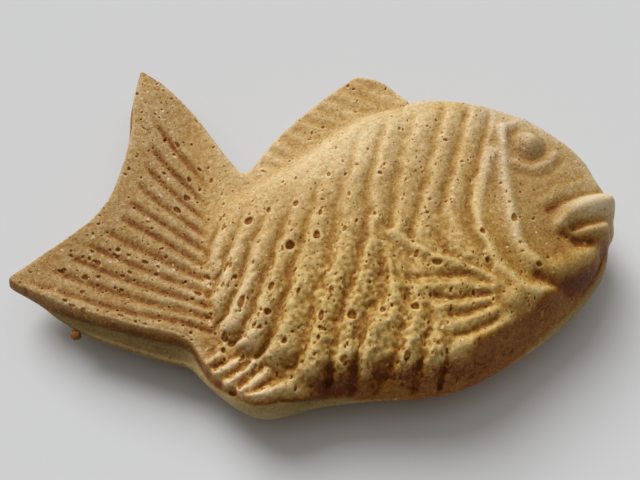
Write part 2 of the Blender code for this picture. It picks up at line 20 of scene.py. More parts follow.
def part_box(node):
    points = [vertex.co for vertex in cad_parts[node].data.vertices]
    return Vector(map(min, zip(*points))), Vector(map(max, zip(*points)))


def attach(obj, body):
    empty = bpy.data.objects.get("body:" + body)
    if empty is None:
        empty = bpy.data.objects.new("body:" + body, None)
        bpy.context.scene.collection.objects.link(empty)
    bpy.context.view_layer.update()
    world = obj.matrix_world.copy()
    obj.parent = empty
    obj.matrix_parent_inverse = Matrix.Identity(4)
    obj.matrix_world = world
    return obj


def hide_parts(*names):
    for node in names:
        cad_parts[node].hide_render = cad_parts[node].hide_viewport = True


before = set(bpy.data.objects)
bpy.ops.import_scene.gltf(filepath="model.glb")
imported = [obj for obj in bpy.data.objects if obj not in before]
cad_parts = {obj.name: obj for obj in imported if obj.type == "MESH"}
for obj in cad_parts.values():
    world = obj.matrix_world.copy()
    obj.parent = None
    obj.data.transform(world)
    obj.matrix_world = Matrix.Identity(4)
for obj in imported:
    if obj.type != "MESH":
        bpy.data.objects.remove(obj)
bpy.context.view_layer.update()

MM = 0.001

# Heights
SEAM = 13.0  # height of the rim's top, where the two halves meet
RIM_DROP = 1.2  # how far the rim's edge lies below its top
RIM_ROUND = 1.6  # how far in from its edge the rim is rounded
BODY_RISE = 14.3  # the upper half's body above the seam
ROOT_RISE = 9.3  # the same at the root of the tail
SHOULDER = 5.4  # how much of that is crown, above the steep side
CROWN_REACH = 7.5  # how far in the crown keeps rising
FIN_RISE = 4.6  # fins and tail above the seam
TIP_THINNING = 0.5  # how much of that is missing at the tips of the tail
BODY_DEPTH = 11.4  # the lower half's body below the rim's edge
ROOT_DEPTH = 7.8
FIN_DEPTH = 4.6
PUFF_RISE = 2.6  # batter pushed out under the anal fin, above the seam
PUFF_CENTRE = (-20.0, -42.0)
PUFF_REACH = 15.0
FOLD_RISE = 0.16  # creases in it
FOLD_PITCH = 1.3
FOLD_WANDER = 1.5  # how irregularly they run, in radians
RIM_SLANT = 1.8  # how far the rim falls from the wall to its edge where it is wide
RIM_BEAD = 0.35  # height of the bead along that edge
BEAD_PLACE = 0.5
BEAD_WIDTH = 0.35
SAG = 0.2  # gentle unevenness of the upper face

# How steeply the sides climb, height over width
BODY_SLOPE = 3.4
BELLY_SLOPE = 2.3  # where the ribs run down the belly
LIP_SLOPE = 4.6  # in front of the lips
JOIN_SLOPE = 1.4  # where the body climbs out of a fin
ROOT_SLOPE = 0.75  # where it climbs out of the tail
FIN_SLOPE = 5.0
WIDE_RIM = (1.6, 2.8)  # widths between which the rim turns from level to sloping
JOIN_GAP = (0.5, 3.0)  # distance between the body's edge and the outer edge where a fin joins

# How softly one surface runs into the next
EDGE_BLEND = 1.0  # the body's side into its crown
HEAD_BLEND = 2.0  # the same on the head
LIP_BLEND = 3.2  # the same on the lips
FIN_BLEND = 0.6  # a fin's edge into its face
JOIN_BLEND = 0.7  # a fin's face into the body
JOIN_SUNK = 0.8  # how far below a fin's face the body's side starts

# Ribs
RIB_PITCH = 6.1
RIB_START = 4.6  # where one rib crosses the middle line
RIB_LEAN = 0.43  # how far a rib leans forward for each millimetre up
RIB_FAN = 0.09  # how much more the ribs next to the tail lean
GILL_BEND = 0.45  # how far the ribs next to the gill swing forward for each millimetre down
RIB_HEIGHT = 0.62  # half of what lies between a crest and a groove, near the back
RIB_HEIGHT_LOW = 0.85  # the same near the belly
RIB_SWELL = 0.9  # how far the ribs' ends push the body's side outwards
MIDDLE_Y = -5.0
BACK_FROM_Y = 10.0  # the body's edge is its back from here up
BACK_FADE = (6.0, 15.0)  # distance from the back over which the ribs come up
RIB_BREADTH = 0.8  # below 1 the crests are broad
RIB_SKEW = 0.4  # above 0 the side of a rib towards the tail is the steeper one
GROOVE_BREADTH = 1.3  # above 1 the grooves are narrow

# Tail
TAIL_PIVOT = (10.6, -38.3)
TAIL_FIRST = 122.6  # direction of the first groove from the pivot, in degrees
TAIL_STEP = 3.45
TAIL_GROOVES = 11
TAIL_DEPTH = 0.66
TAIL_WIDTH = 0.95
TAIL_MARGIN = 5.6  # smooth margin between the grooves and the tail's edge
TAIL_MARGIN_TOP = 6.8  # the same in the upper lobe
TAIL_MARGIN_LOW = 2.4  # the same along the lower edge
TAIL_ROOT_X = -26.6

# Dorsal fin
RAY_PITCH = 4.4
RAY_ANGLE = -36.0
RAY_HEIGHT = 0.2

DOME_POWER = 1.6  # above 1 a dome's foot runs out softly

# Flat spot that the cake rests on
PAD_CENTRE = (12.0, -5.0)
PAD_RADII = (15.0, 10.0)
PAD_DROP = 2.0

# Mesh
RIM_POINTS = 960
UPPER_SPACING = 0.43
UPPER_FINE = 0.34
LOWER_SPACING = 1.2
LOWER_FINE = 0.8
STEEP_WIDTH = 3.2  # how far in from an edge the points lie closer together

# Lumps of the baked crust: wavelength, height, where their noise is taken, and the power of the
# lumpiness that they follow
LUMPS = [(3.4, 0.228, 0, 1), (1.2, 0.2185, 40, 1.6)]
FLAT_FADE = (0, 1.2)  # height over which lumps and pits come up around the resting spot

# Pits of burst bubbles in the upper face: place, half width across the rib or ray, half length
# along it
PITS = {
    "upper flank": [
        (-16.7, 2.3, 1.05, 1.15), (-7.8, -6.8, 1.05, 1.25), (-1.3, -5.8, 0.85, 1.25),
        (-11.6, 4.2, 0.55, 0.85), (-5, 4.1, 0.75, 0.85), (0.4, 0.2, 0.5, 0.9),
        (1.7, 6.3, 0.4, 0.4), (1.4, 3.8, 0.5, 0.4), (-7.2, -0.9, 0.3, 1),
        (-22.9, 2.8, 0.35, 1.15), (-23.3, -8.2, 0.55, 1.25), (-28.1, -8.8, 0.55, 1),
        (-21.4, -11.2, 0.6, 0.6), (-13.3, -16.4, 0.65, 1.15), (5.3, -5.3, 0.55, 0.9),
        (7.8, 4.1, 0.4, 0.7), (24.2, 21.5, 0.4, 0.4), (33, 23.4, 0.4, 0.4),
        (30.2, 21.1, 0.4, 0.4), (33.8, 16, 0.75, 0.45), (36.3, 9.2, 0.45, 0.45),
        (16.1, 8.7, 0.6, 0.65), (11, 12.2, 0.6, 0.4), (3.9, 10.7, 0.6, 0.65),
        (-7.3, 11.7, 0.5, 0.5)],
    "lower flank": [
        (-20.5, -18.4, 0.85, 1.6), (-14.8, -22.1, 0.8, 0.85), (-0.1, -20.3, 0.65, 1.15),
        (-3.1, -25.7, 0.7, 1.3), (-3.2, -28.6, 1.1, 0.5), (-4.4, -30.6, 0.55, 0.6),
        (-30.6, -12.4, 0.6, 1.1), (-24.4, -13, 0.5, 0.6), (-28.4, -19.1, 0.35, 1.3),
        (-25.3, -24.7, 0.85, 1.1), (-25.9, -27.5, 0.6, 0.7), (-18.3, -24.7, 0.55, 0.65),
        (-11.9, -29.4, 0.75, 0.8), (-7.3, -19, 0.45, 0.8), (-21.8, -30.2, 0.45, 1.2),
        (-24.8, -37.1, 1.2, 0.8), (-8.4, -34.3, 0.45, 0.5), (-7.4, -31.5, 0.35, 0.9),
        (3.7, -26.7, 1.25, 1.05), (0.5, -36, 0.85, 1.1), (14.3, -37.3, 0.7, 1.1),
        (17.6, -40.4, 0.45, 0.5), (18, -26.7, 1, 0.8), (10.6, -26.4, 0.85, 0.7),
        (7.1, -38.1, 0.5, 0.8)],
    "head and pectoral fin": [
        (20.6, -14, 0.6, 0.9), (24.9, -16.8, 1.1, 0.8), (45, -8.1, 0.75, 1.3),
        (36.9, -10.5, 0.75, 0.8), (36.7, -17.4, 0.6, 0.65), (50.9, -18.4, 0.4, 0.4),
        (48.3, -19.9, 0.85, 0.5), (44.9, -14.5, 0.45, 0.5), (44.9, -3.9, 0.45, 0.45),
        (37.4, 4.1, 0.3, 0.65)],
    "dorsal fin": [
        (14.5, 34.5, 0.6, 0.4), (23.8, 41, 0.4, 0.4), (13.9, 43.3, 0.55, 0.55),
        (5.3, 30.8, 0.5, 0.5), (1.3, 27.4, 0.6, 0.3), (-11.5, 19.3, 0.75, 0.4)],
    "tail": [
        (-31.4, 14.4, 0.75, 1), (-34, 11.3, 0.7, 1.15), (-24.9, 18.5, 0.6, 0.65),
        (-30.4, 19.6, 0.55, 0.8), (-28, 16.2, 0.5, 0.5), (-48.9, 2.1, 0.55, 0.75),
        (-46.5, 0.4, 0.4, 0.65), (-42.6, -2.2, 0.5, 0.9), (-39.6, -3.9, 0.4, 0.6),
        (-53.9, -0.8, 0.6, 0.85), (-55.8, 0.4, 0.5, 0.6), (-57, -4.3, 0.6, 0.95),
        (-57.7, -8.1, 0.5, 0.7), (-60.1, -11.5, 0.4, 0.9), (-71.8, -4.6, 0.4, 0.75),
        (-62.7, -1.8, 0.4, 1), (-42.4, 48.9, 0.5, 0.65), (-37, 52, 0.5, 0.5),
        (-35.5, 49.1, 0.4, 0.6), (-33.3, 45.8, 0.5, 0.5), (-27.3, 37.3, 0.35, 0.85),
        (-32.7, 30.8, 0.5, 0.9), (-45.4, 25, 0.5, 0.6)],
}
SMALL_PITS = 760
LOWER_PITS = 160
SMALL_PIT = (0.16, 0.42)  # range of their half widths
PIT_TRIES = 14  # places tried for each of them
PIT_BOX = ((-77, -44), (74, 59))  # corners of the box that they are scattered in
GLINT_PIT = 0.28  # half width above which a pit gets a spot of painted highlight below its lower lip

# Shape of a pit, as shares of its half width
PIT_RAGGED = (0.09, 0.06)  # how far its rim is from an ellipse
PIT_DEPTH = (0.85, 0.2)  # its depth, and how much that varies
PIT_LIP = 0.1  # height of the lip around it
PIT_REACH = 2.2  # how far it changes the crust
PIT_CLEAR = 1.3  # how far around it the mesh has only the pit's own points

# The mesh's own points for a pit: above which mean half size, how many in a ring, and the rings'
# sizes as shares of the pit's
PIT_RINGS = [
    (0.8, 14, (1.14, 0.98, 0.84, 0.58, 0.28, 0)),
    (0.55, 11, (1.14, 0.98, 0.84, 0.58, 0.28, 0)),
    (0, 8, (1.16, 0.94, 0.55, 0)),
]

# Where the crust is darker, or paler, partly from baking and partly as painted light: the back, the
# nape and the lips are paler where the light falls on them, and the cheek is darker where it is
# turned from the light. Amount, centre, radii
REGION_BROWNING_AND_LIGHT = {
    "upper lobe of the tail": (-0.08, (-38, 46), (12, 12)),
    "root of the tail": (-0.14, (-29, -9), (9, 15)),
    "back": (-0.22, (2, 17), (22, 10)),
    "nape": (-0.15, (28, 26), (18, 11)),
    "cheek": (0.24, (56, -6), (10, 16)),
    "lower lip": (0.14, (67, -13), (6, 2.4)),
    "forehead": (-0.04, (58, 20), (12, 10)),
    "foot of the belly": (0.08, (20, -42.5), (22, 3.5)),
    "in front of the anal fin": (0.22, (-3, -38.8), (8, 2.6)),
    "throat": (0.06, (52, -26), (16, 10)),
    "lips": (-0.4, (67, -5.6), (8, 4)),
    "jaw": (0.12, (57, -19.5), (8, 4)),
}

# A crumb on the tail's lower edge
CRUMB_RADIUS = 1.25
CRUMB_LUMPS = [(1.6, 0.45), (4.5, 0.2)]  # lumps to a radius, and their height as a share of it
CRUMB_FLATTENED = 0.85
CRUMB_PLACE = (-60, -23.4, 10.6)
CRUMB_BROWNING = 0.42

# Colours of the batter from raw and pale to burnt, against how far it is baked, with painted shade and
# highlights added to that
BAKED = [
    (0, (0.74, 0.57, 0.32)),
    (0.25, (0.575, 0.39, 0.168)),
    (0.5, (0.415, 0.24, 0.063)),
    (0.72, (0.31, 0.138, 0.0245)),
    (0.88, (0.215, 0.072, 0.0105)),
    (1, (0.14, 0.042, 0.006)),
]
BAKED_USUALLY = 0.42

# How much the mesh's marks darken, and pale, the crust: range of the mark, and what its ends add.
# The hollows, creases and pits get painted shade and the tops of lumps a painted highlight, and the
# steep sides are baked darker and get painted shade too. Where the crust is speckled, only its
# flecks change.
MARK_BROWNING_AND_SHADE = {
    "hollow": (-0.7, 0.8, -0.12, 0.15),
    "crevice": (-0.08, 0.12, -0.12, 0.13),
    "wall": (0, 1, 0, 0.38),
    # painted shade inside the pits
    "pit": (0.1, 0.9, 0, 0.26),
    "speckled": (0.2, 0.8, -0.2, -0.38),
}
# how much paler the painted highlight below the pits makes the crust
GLINT_PALING = -0.3
# painted shade in the tail's grooves and the creases
GROOVE_SHADE = 0.16
PORE_BROWNING = 0.25

# Irregular browning: wavelength, detail, roughness, amount
MOTTLE = [(11, 2, 0.5, 0.3), (2.4, 3, 0.6, 0.34), (0.6, 2, 0.7, 0.7)]

# Fine pores and pale flecks: how far apart, range of their sizes, softness
PORES = (1.35, (0, 0.19), 0.06)
FLECKS = (1.9, (-0.05, 0.25), 0.07)
FLECK_SHIFT = (900, 1.2 * MM)  # scale and amount of what makes the flecks irregular

# What the crust's colour is multiplied by
LOW_SHADE_TINT = (0.94, 0.90, 0.67)  # low on the flank, between the flecks: painted shade, where the crust gets no sheen
SHEEN_TINT = (0.96, 1.025, 1.31)  # painted sheen on the head and the tail, which makes them less yellow
BURNT_AND_SHADE_TINT = (1.1, 0.94, 0.68)  # where it is baked darkest, and where shade is painted in grooves, creases, pits and on the steep sides

# Colours of the rim, which the iron didn't touch, from pale to dark; the darker ones paint the tail's shadow
# on the rim under it
RAW = [
    (0, (0.50, 0.38, 0.17)),
    (0.4, (0.33, 0.235, 0.085)),
    (0.8, (0.19, 0.115, 0.036)),
    (1, (0.12, 0.07, 0.02)),
]

# The rest of the crust's surface
CRUST_SHADER = {
    "Specular IOR Level": 0.15,
    "Subsurface Weight": 0.3,
    "Subsurface Radius": (1, 0.4, 0.15),
    "Subsurface Scale": 1.2 * MM,
}
GRAIN_HEIGHT = 0.3  # of the finest grain, which is bump only

# Camera, in the part's frame: its target in millimetres, its direction from the target in degrees
CAMERA_TARGET = (1.068, -7.462, 13)
CAMERA_AZIMUTH = 262
CAMERA_ELEVATION = 62
CAMERA_DISTANCE = 222

# Light: the suns a little cooler than white and the fill warmer, so that the floor stays grey
SUNS = {  # azimuth, elevation, strength, width, with the angles in degrees
    "window": (112, 47, 2.68, 36),
    "ceiling": (95, 76, 0.88, 80),
}
SUN_COLOUR = (0.975, 1, 1.035)
FILL_COLOUR = (1, 0.86, 0.65)
FILL_STRENGTH = 0.13
FLOOR_HALF = 4000
FLOOR_GREY = 0.62

# The upper half's edge, counter-clockwise from the upper tip of the tail. The third number is how
# far the rim stands out there.
OUTLINE = [
    ("fork of the tail", [
        (-41.8, 58.4, 0.4), (-44.3, 47, 0.7), (-45.3, 37, 0.7), (-47.6, 27.5, 0.6),
        (-51.6, 17.4, 0.5), (-57.2, 11, 0.4), (-66, 5.4, 0.3), (-75.6, 0.2, 0.3)]),
    ("lower edge of the tail", [
        (-76.8, -1, 0.2), (-75.2, -2.6, 0.2), (-69.1, -7.2, 0.3), (-64.4, -10.6, 1.2),
        (-60, -13, 2.2), (-55, -15.4, 2.9), (-45.7, -19.6, 3.5), (-37.4, -22.8, 4.1),
        (-33.8, -25, 3.5)]),
    ("anal fin", [
        (-32.2, -28.2, 2), (-30, -32.6, 1), (-25.8, -37.2, 1), (-20.8, -40.6, 1.5),
        (-15.5, -41, 1.9), (-5, -40.6, 1.5), (6, -41.6, 0.6)]),
    ("belly", [
        (17, -43.1, 0.3), (26.6, -42.4, 0.3), (36.7, -39.1, 0.4), (47.8, -33.4, 0.9),
        (58.1, -26.8, 1.2), (65.2, -20.6, 1), (68, -16.8, 1), (69.5, -14.4, 0.8)]),
    ("lower lip", [(70.6, -12.4, 0.5), (71.4, -10.8, 0.4), (72.8, -9.2, 0.4), (73.8, -7.4, 0.4)]),
    ("upper lip", [(74.2, -5.4, 0.4), (74.7, -3, 0.4), (72.9, -0.5, 0.4)]),
    ("back", [
        (71.5, 3.4, 0.4), (70.2, 10, 0.4), (66.7, 16, 0.4), (58.6, 24.4, 0.4),
        (49.3, 30.3, 0.4), (39.2, 33.8, 0.4), (30.4, 35.4, 0.4)]),
    ("dorsal fin", [
        (27.2, 40, 0.4), (23.8, 44, 0.4), (18.4, 46.4, 0.4), (15.2, 46.2, 0.4),
        (4.8, 39.6, 0.4), (-7, 30.3, 0.4), (-15.9, 20.4, 0.4)]),
    ("upper edge of the tail", [
        (-17.2, 21.2, 0.4), (-21.1, 28.4, 0.4), (-25.5, 37.3, 0.4), (-30.2, 45.3, 0.4),
        (-35.2, 52.5, 0.4), (-40.6, 58.4, 0.4)]),
]

# The thick body without its fins, counter-clockwise from the root of the tail
BODY = [
    (-31.6, -8), (-30.6, -20), (-25.6, -28.6), (-14, -36.2), (-3, -40), (6, -41.6),
    (17, -43.1), (26.6, -42.4), (36.7, -39.1), (47.8, -33.4), (58.1, -26.8), (65.2, -20.6),
    (69.5, -14.4), (71.4, -10.8), (73.3, -7.4), (74.1, -3), (71.9, 2.2), (70.1, 10),
    (66.7, 16), (58.6, 24.4), (49.3, 30.3), (39.2, 33.8), (29, 34.8), (17, 33.2),
    (6.4, 28.6), (-4.6, 21.3), (-15.6, 15.6), (-23.5, 11.5), (-29.6, 3.6)]

# The pectoral fin, which the ribs stop at
PECTORAL = [
    (13, -5.4), (26, -14), (40, -22), (43, -27), (40, -33.4), (25, -40.6),
    (22.5, -33), (20.8, -25), (15.6, -20)]

# Single ridges and grooves: height, half width, then points along the middle
STROKES = {
    "gill cover": (1, 1.7, [
        (48.6, 18.6), (47.2, 12), (45.8, 5), (45, -2), (44.5, -10.3), (45.1, -15.6),
        (47.6, -19)]),
    "arc behind the gill": (0.95, 1.7, [
        (44.2, 11), (41.4, 6), (38.8, 0.6), (37, -4.8), (36.4, -9.4), (37.2, -14.4), (39.4, -20),
        (43.2, -24.6), (48, -26.4), (53, -26)]),
    "groove behind the gill": (-0.35, 1.6, [
        (46.4, 14), (43.8, 6), (41.4, -4), (40.8, -12), (42.6, -19), (46, -23.2)]),
    "brow": (0.6, 1.3, [(47.6, 13), (48.3, 16.6), (51, 19.4), (55.4, 21)]),
    "groove under the brow": (-0.35, 0.9, [(49.6, 13.6), (50.4, 16), (52.6, 17.8)]),
    "lid": (0.5, 1.1, [(49.4, 7.6), (50.7, 6.2), (53.6, 5.4), (57.2, 6.6), (60, 9.2)]),
    "groove under the lid": (-0.25, 1, [(49.6, 4.6), (53.4, 3), (57.4, 3.8), (61, 6.8)]),
    "ridge over the lip": (0.4, 1.4, [(67.5, 1.2), (62, -0.4), (57, -1.8), (53, -4.2)]),
    "crease over the lip": (-0.6, 0.9, [
        (75, -0.4), (69, -1.9), (64.2, -2.9), (58.6, -4.3), (54, -6.6)]),
    "upper lip": (1.6, 2, [
        (74.6, -4.4), (69.3, -5.1), (64.8, -5.6), (61, -6.7), (57.8, -8.4), (55.2, -10.8)]),
    "mouth": (-1, 1.1, [(76, -8.6), (69, -9), (63.8, -10.2), (60.8, -10.9), (58.6, -11.6)]),
    "lower lip": (0.8, 1.2, [(76, -11.4), (70, -11.6), (66, -12), (63, -12.4)]),
    "crease under the lip": (-1.2, 1.8, [
        (76, -13.9), (70, -14.3), (66, -14.8), (62.4, -15), (59, -14.8)]),
    "end of the crease": (-0.5, 1.3, [(62.4, -14.9), (59.6, -14.5), (57.4, -13.8), (55.8, -12.9)]),
    "hollow under the jaw": (-1.5, 1.7, [
        (48, -22), (52.6, -24.2), (58.2, -23.6), (63, -20.6), (67, -17)]),
    "leading ray": (0.8, 1.2, [
        (15.8, -7.6), (20, -11.2), (25.5, -15.8), (30, -17.8), (34, -20.5), (38.5, -23.8)]),
    "groove 1": (-0.65, 0.9, [(18, -19.4), (24, -19.6), (31.6, -20.4), (35.8, -22.8)]),
    "ray 1": (0.6, 1.2, [(19.5, -22.3), (25, -22.6), (30, -22.9), (36, -24.3)]),
    "groove 2": (-0.65, 0.8, [(23.2, -24.3), (26, -25.4), (35, -25.6)]),
    "ray 2": (0.55, 1, [(23, -27), (28, -27.6), (35, -27)]),
    "groove 3": (-0.65, 0.8, [(25.6, -29.2), (29, -29.2), (34.6, -28.2)]),
    "ray 3": (0.6, 1.1, [(25, -31.6), (30, -31.2), (36.5, -29.4)]),
    "groove 4": (-0.7, 0.8, [(25.9, -33.8), (29.5, -33.6), (35.7, -31.4)]),
    "ray 4": (1, 1.5, [(23.6, -40.2), (25.4, -37.8), (29.6, -36.4), (34, -34.9), (38.4, -32.4)]),
    "anal ray 1": (1, 1, [(-31.2, -30.8), (-27, -28.9)]),
    "anal ray 2": (1.2, 1, [(-29.4, -33.4), (-26, -32.2), (-22.6, -30.8)]),
    "anal ray 3": (1.3, 1, [(-26.6, -36.4), (-23, -34.4), (-19.4, -32.2)]),
    "anal ray 4": (1.3, 1, [(-23.2, -38.2), (-20, -36.4), (-16.6, -34.4)]),
    "anal groove 1": (-0.3, 0.8, [(-30.6, -32.2), (-26.4, -30.4), (-23.4, -29)]),
    "anal groove 2": (-0.3, 0.8, [(-28.4, -35), (-24.8, -33.4), (-20.6, -31.2)]),
    "anal groove 3": (-0.3, 0.8, [(-25, -37.6), (-21.4, -35.6), (-17.6, -33)]),
    "anal groove 4": (-0.3, 0.8, [(-22.2, -39), (-17.6, -37), (-13.4, -35.4)]),
    "anal ray 5": (1.7, 1.4, [(-21.6, -39.9), (-15.5, -38.7), (-9, -37.2), (-5.6, -36.8)]),
    "foot of the tail": (0.5, 1.3, [(-66, -7), (-52, -14.2), (-35, -21.2)]),
}

# How much painted shade darkens some of the creases
CREASE_SHADE = {
    "crease over the lip": 0.35, "mouth": 0.3, "crease under the lip": 1.4, "end of the crease": 1.2,
    "hollow under the jaw": 0.8, "groove 1": 0.2, "groove 2": 0.3, "groove 3": 0.3, "groove 4": 0.4,
    "anal groove 1": 0.6, "anal groove 2": 0.7, "anal groove 3": 0.7, "anal groove 4": 0.7,
}

# Round bumps: height, centre, radii, turn in degrees
DOMES = {
    "eye": (3.2, (54, 12.4), (4.1, 4.8), 0),
    "front of the upper lip": (0.6, (69.5, -5.6), (5.5, 3.4), 10),
    "jaw": (1, (56.6, -20), (9.4, 3.8), 12),
    "root of the pectoral fin": (1.3, (40.4, -26.8), (3.4, 3.2), 0),
}


def smooth_step(low, high, value):
    """0 below low, 1 above high and a smooth climb between."""
    t = np.clip((value - low) / (high - low), 0.0, 1.0)
    return t * t * (3.0 - 2.0 * t)


def soft_min(a, b, blend):
    """The lower of two heights, with a soft corner where they cross."""
    return -blend * np.logaddexp(-a / blend, -b / blend)


def soft_max(a, b, blend):
    """The higher of two heights, with a soft corner where they cross."""
    return blend * np.logaddexp(a / blend, b / blend)


def smooth_line(points, closed=False, steps=16):
    """Points along a Catmull-Rom curve, with as many columns as the given points."""
    given = np.array(points, dtype=float)
    if closed:
        ends = (given[-1:], given[:2])
    else:
        ends = (2.0 * given[:1] - given[1:2], 2.0 * given[-1:] - given[-2:-1])
    line = np.vstack((ends[0], given, ends[1]))
    t = np.linspace(0.0, 1.0, steps, endpoint=False)[:, None]
    spans = []
    for a, b, c, d in zip(line, line[1:], line[2:], line[3:]):
        bend = (2.0 * a - 5.0 * b + 4.0 * c - d) * t ** 2
        spans.append(0.5 * (2.0 * b + (c - a) * t + bend + (3.0 * b - a - 3.0 * c + d) * t ** 3))
    if not closed:
        spans.append(given[-1:])
    return np.vstack(spans)


def even_ring(ring, count):
    """The closed ring with its points spread evenly, corners slightly rounded."""
    loop = np.vstack((ring, ring[:1]))
    along = np.concatenate(([0.0], np.cumsum(np.linalg.norm(np.diff(loop[:, :2], axis=0), axis=1))))
    wanted = np.arange(count) * along[-1] / count
    even = np.column_stack([np.interp(wanted, along, column) for column in loop.T])
    return sum(weight * np.roll(even, shift, axis=0)
               for shift, weight in ((-2, 0.1), (-1, 0.2), (0, 0.4), (1, 0.2), (2, 0.1)))


def edge_rings(count=640):
    """The upper half's edge and the rim's edge around it."""
    stretches = [smooth_line(points) for _, points in OUTLINE]
    ring = even_ring(np.vstack(stretches), count)
    edge, width = ring[:, :2], ring[:, 2:]
    along = np.roll(edge, -2, axis=0) - np.roll(edge, 2, axis=0)
    outward = np.column_stack((along[:, 1], -along[:, 0])) / np.linalg.norm(along, axis=1)[:, None]
    return edge, even_ring(edge + outward * width, count)


def distance_to_line(x, y, line, closed=False):
    """How far each point lies from the line."""
    starts = line if closed else line[:-1]
    ends = np.roll(line, -1, axis=0) if closed else line[1:]
    spans = ends - starts
    lengths = np.maximum((spans ** 2).sum(axis=1), 1e-12)
    nearest = np.full(len(x), np.inf)
    for start, span, length in zip(starts, spans, lengths):
        t = np.clip(((x - start[0]) * span[0] + (y - start[1]) * span[1]) / length, 0.0, 1.0)
        away = (x - start[0] - t * span[0]) ** 2 + (y - start[1] - t * span[1]) ** 2
        nearest = np.minimum(nearest, away)
    return np.sqrt(nearest)


def inset(x, y, ring):
    """How far inside the closed ring each point lies, negative outside."""
    crossings = np.zeros(len(x), dtype=int)
    for (ax, ay), (bx, by) in zip(ring, np.roll(ring, -1, axis=0)):
        if ay != by:
            spans = (ay > y) != (by > y)
            crossings += spans & (x < ax + (y - ay) * (bx - ax) / (by - ay))
    away = distance_to_line(x, y, ring, closed=True)
    return np.where(crossings % 2 == 1, away, -away)


def unevenness(x, y, length, seed):
    """Smooth irregular waves about length long, roughly between -1 and 1."""
    random = np.random.RandomState(seed)
    total = np.zeros(len(x))
    for _ in range(9):
        direction = random.uniform(0.0, 2.0 * np.pi)
        wave = 2.0 * np.pi / (length * random.uniform(0.7, 1.5))
        phase = random.uniform(0.0, 2.0 * np.pi)
        total += np.sin(wave * (x * np.cos(direction) + y * np.sin(direction)) + phase)
    return total / 4.5


class Plan:
    """The points of one face in plan, with what the relief needs to know about each."""

    def __init__(self, x, y):
        upper, rim = edge_rings()
        self.x = x
        self.y = y
        self.from_rim = inset(x, y, rim)
        self.from_upper = inset(x, y, upper)
        self.from_body = inset(x, y, smooth_line(BODY, closed=True))


def between(value, low_end, high_start, blend):
    """1 where value lies between the two limits, with a smooth climb of width blend on each side."""
    return smooth_step(low_end - blend, low_end, value) * smooth_step(high_start + blend, high_start, value)


def below_back(plan):
    """0 on the smooth shoulder under the body's upper edge, 1 down on the flank."""
    back = smooth_line(BODY, closed=True)
    back = back[back[:, 1] > BACK_FROM_Y]
    away = distance_to_line(plan.x, plan.y, back)
    # the ribs come up nearer to the back at the nape and next to the tail, and later in between
    away += 3.5 * smooth_step(28, 40, plan.x) + 4.0 * smooth_step(-12, -22, plan.x)
    away -= 3.0 * smooth_step(12, 2, plan.x) * smooth_step(-18, -10, plan.x)
    return smooth_step(*BACK_FADE, away) * (plan.from_body > -1.0)


def rib_drift(plan, place):
    """How far forward of an even pitch the ribs stand, in millimetres."""
    below = smooth_step(8, -6, plan.y)  # the lower half of the flank
    rear = smooth_step(-4.5, 9.5, place)  # from the rear ribs to the middle ones
    front = smooth_step(10, 23, place)  # from there to the ones behind the gill
    upper_flank = 2.5 * front - 1.1
    lower_flank = 2.9 * rear - 0.9 - 0.8 * front * smooth_step(-16, -8, plan.y)
    return upper_flank + (lower_flank - upper_flank) * below


def rib_places(plan):
    """Where each point lies across the ribs, in millimetres along the middle line."""
    x, y = plan.x, plan.y
    level = y - MIDDLE_Y
    place = x - RIB_LEAN * level
    place -= RIB_FAN * level * smooth_step(2, -18, place)
    # the rear ribs hook backwards where they meet the anal fin
    place += 1.8 * smooth_step(7, 1.5, plan.from_body) * smooth_step(-4, -12, x) * (y < MIDDLE_Y)
    # the ribs below the pectoral fin stand further forward
    place -= 3.0 * smooth_step(-13, -27, y) * smooth_step(7, 13, x)
    # and the ones behind the gill swing forward with it
    swing = np.clip(-2.0 - y, 0.0, 16.0) * smooth_step(22, 40, place) * smooth_step(-27, -19, y)
    place += 0.3 * unevenness(x, y, 7.0, seed=21)
    place += 0.35 * unevenness(x, y, 26.0, seed=3)
    return place - GILL_BEND * swing - rib_drift(plan, place)


def rib_ends(plan, place):
    """1 on the ribs' part of the flank, 0 on the head, the tail and the pectoral fin."""
    x, body = plan.x, plan.from_body
    lower = plan.y < MIDDLE_Y
    # they run on a little over the belly's edge in front, and stop short of the anal fin
    knobs = 0.7 * smooth_step(-6, 4, x) * lower
    knobs -= 1.0 * smooth_step(-6, -12, x) * lower
    shown = smooth_step(0.3, 2.2, body + knobs)
    shown *= smooth_step(35, 32.6, place) * smooth_step(-31, -24, x)
    # in front of the knobs the edge is smooth
    shown *= 1.0 - smooth_step(24, 30, x) * smooth_step(4, 2, body)
    fin = inset(x, plan.y, np.array(PECTORAL))
    return shown * (1.0 - 0.8 * smooth_step(-1.4, 0.6, fin)) * below_back(plan)


def rib_waves(plan):
    """About 1 along the crest of each rib and -1 in each groove, fading to 0 off the flank."""
    place = rib_places(plan)
    phase = 2.0 * np.pi * (place - RIB_START) / RIB_PITCH
    wave = np.cos(phase + RIB_SKEW * (np.cos(phase) - 1.0))
    wave = np.maximum(wave, 0.0) ** RIB_BREADTH - np.maximum(-wave, 0.0) ** GROOVE_BREADTH
    wave *= (1.0 + 0.2 * unevenness(plan.x, plan.y, 13.0, seed=12)
             + 0.25 * unevenness(plan.x, plan.y, 5.0, seed=22))
    # shallower on the rear of the back and along the belly, deeper above the anal fin
    weak = 0.5 * smooth_step(-4, 4, plan.y) * smooth_step(9, 3, place)
    weak += 0.15 * smooth_step(-22, -30, plan.y) * smooth_step(-14, -4, plan.x)
    weak -= 0.25 * smooth_step(-12, -20, plan.y) * smooth_step(-4, -12, plan.x)
    return wave * rib_ends(plan, place) * (1.0 - weak)


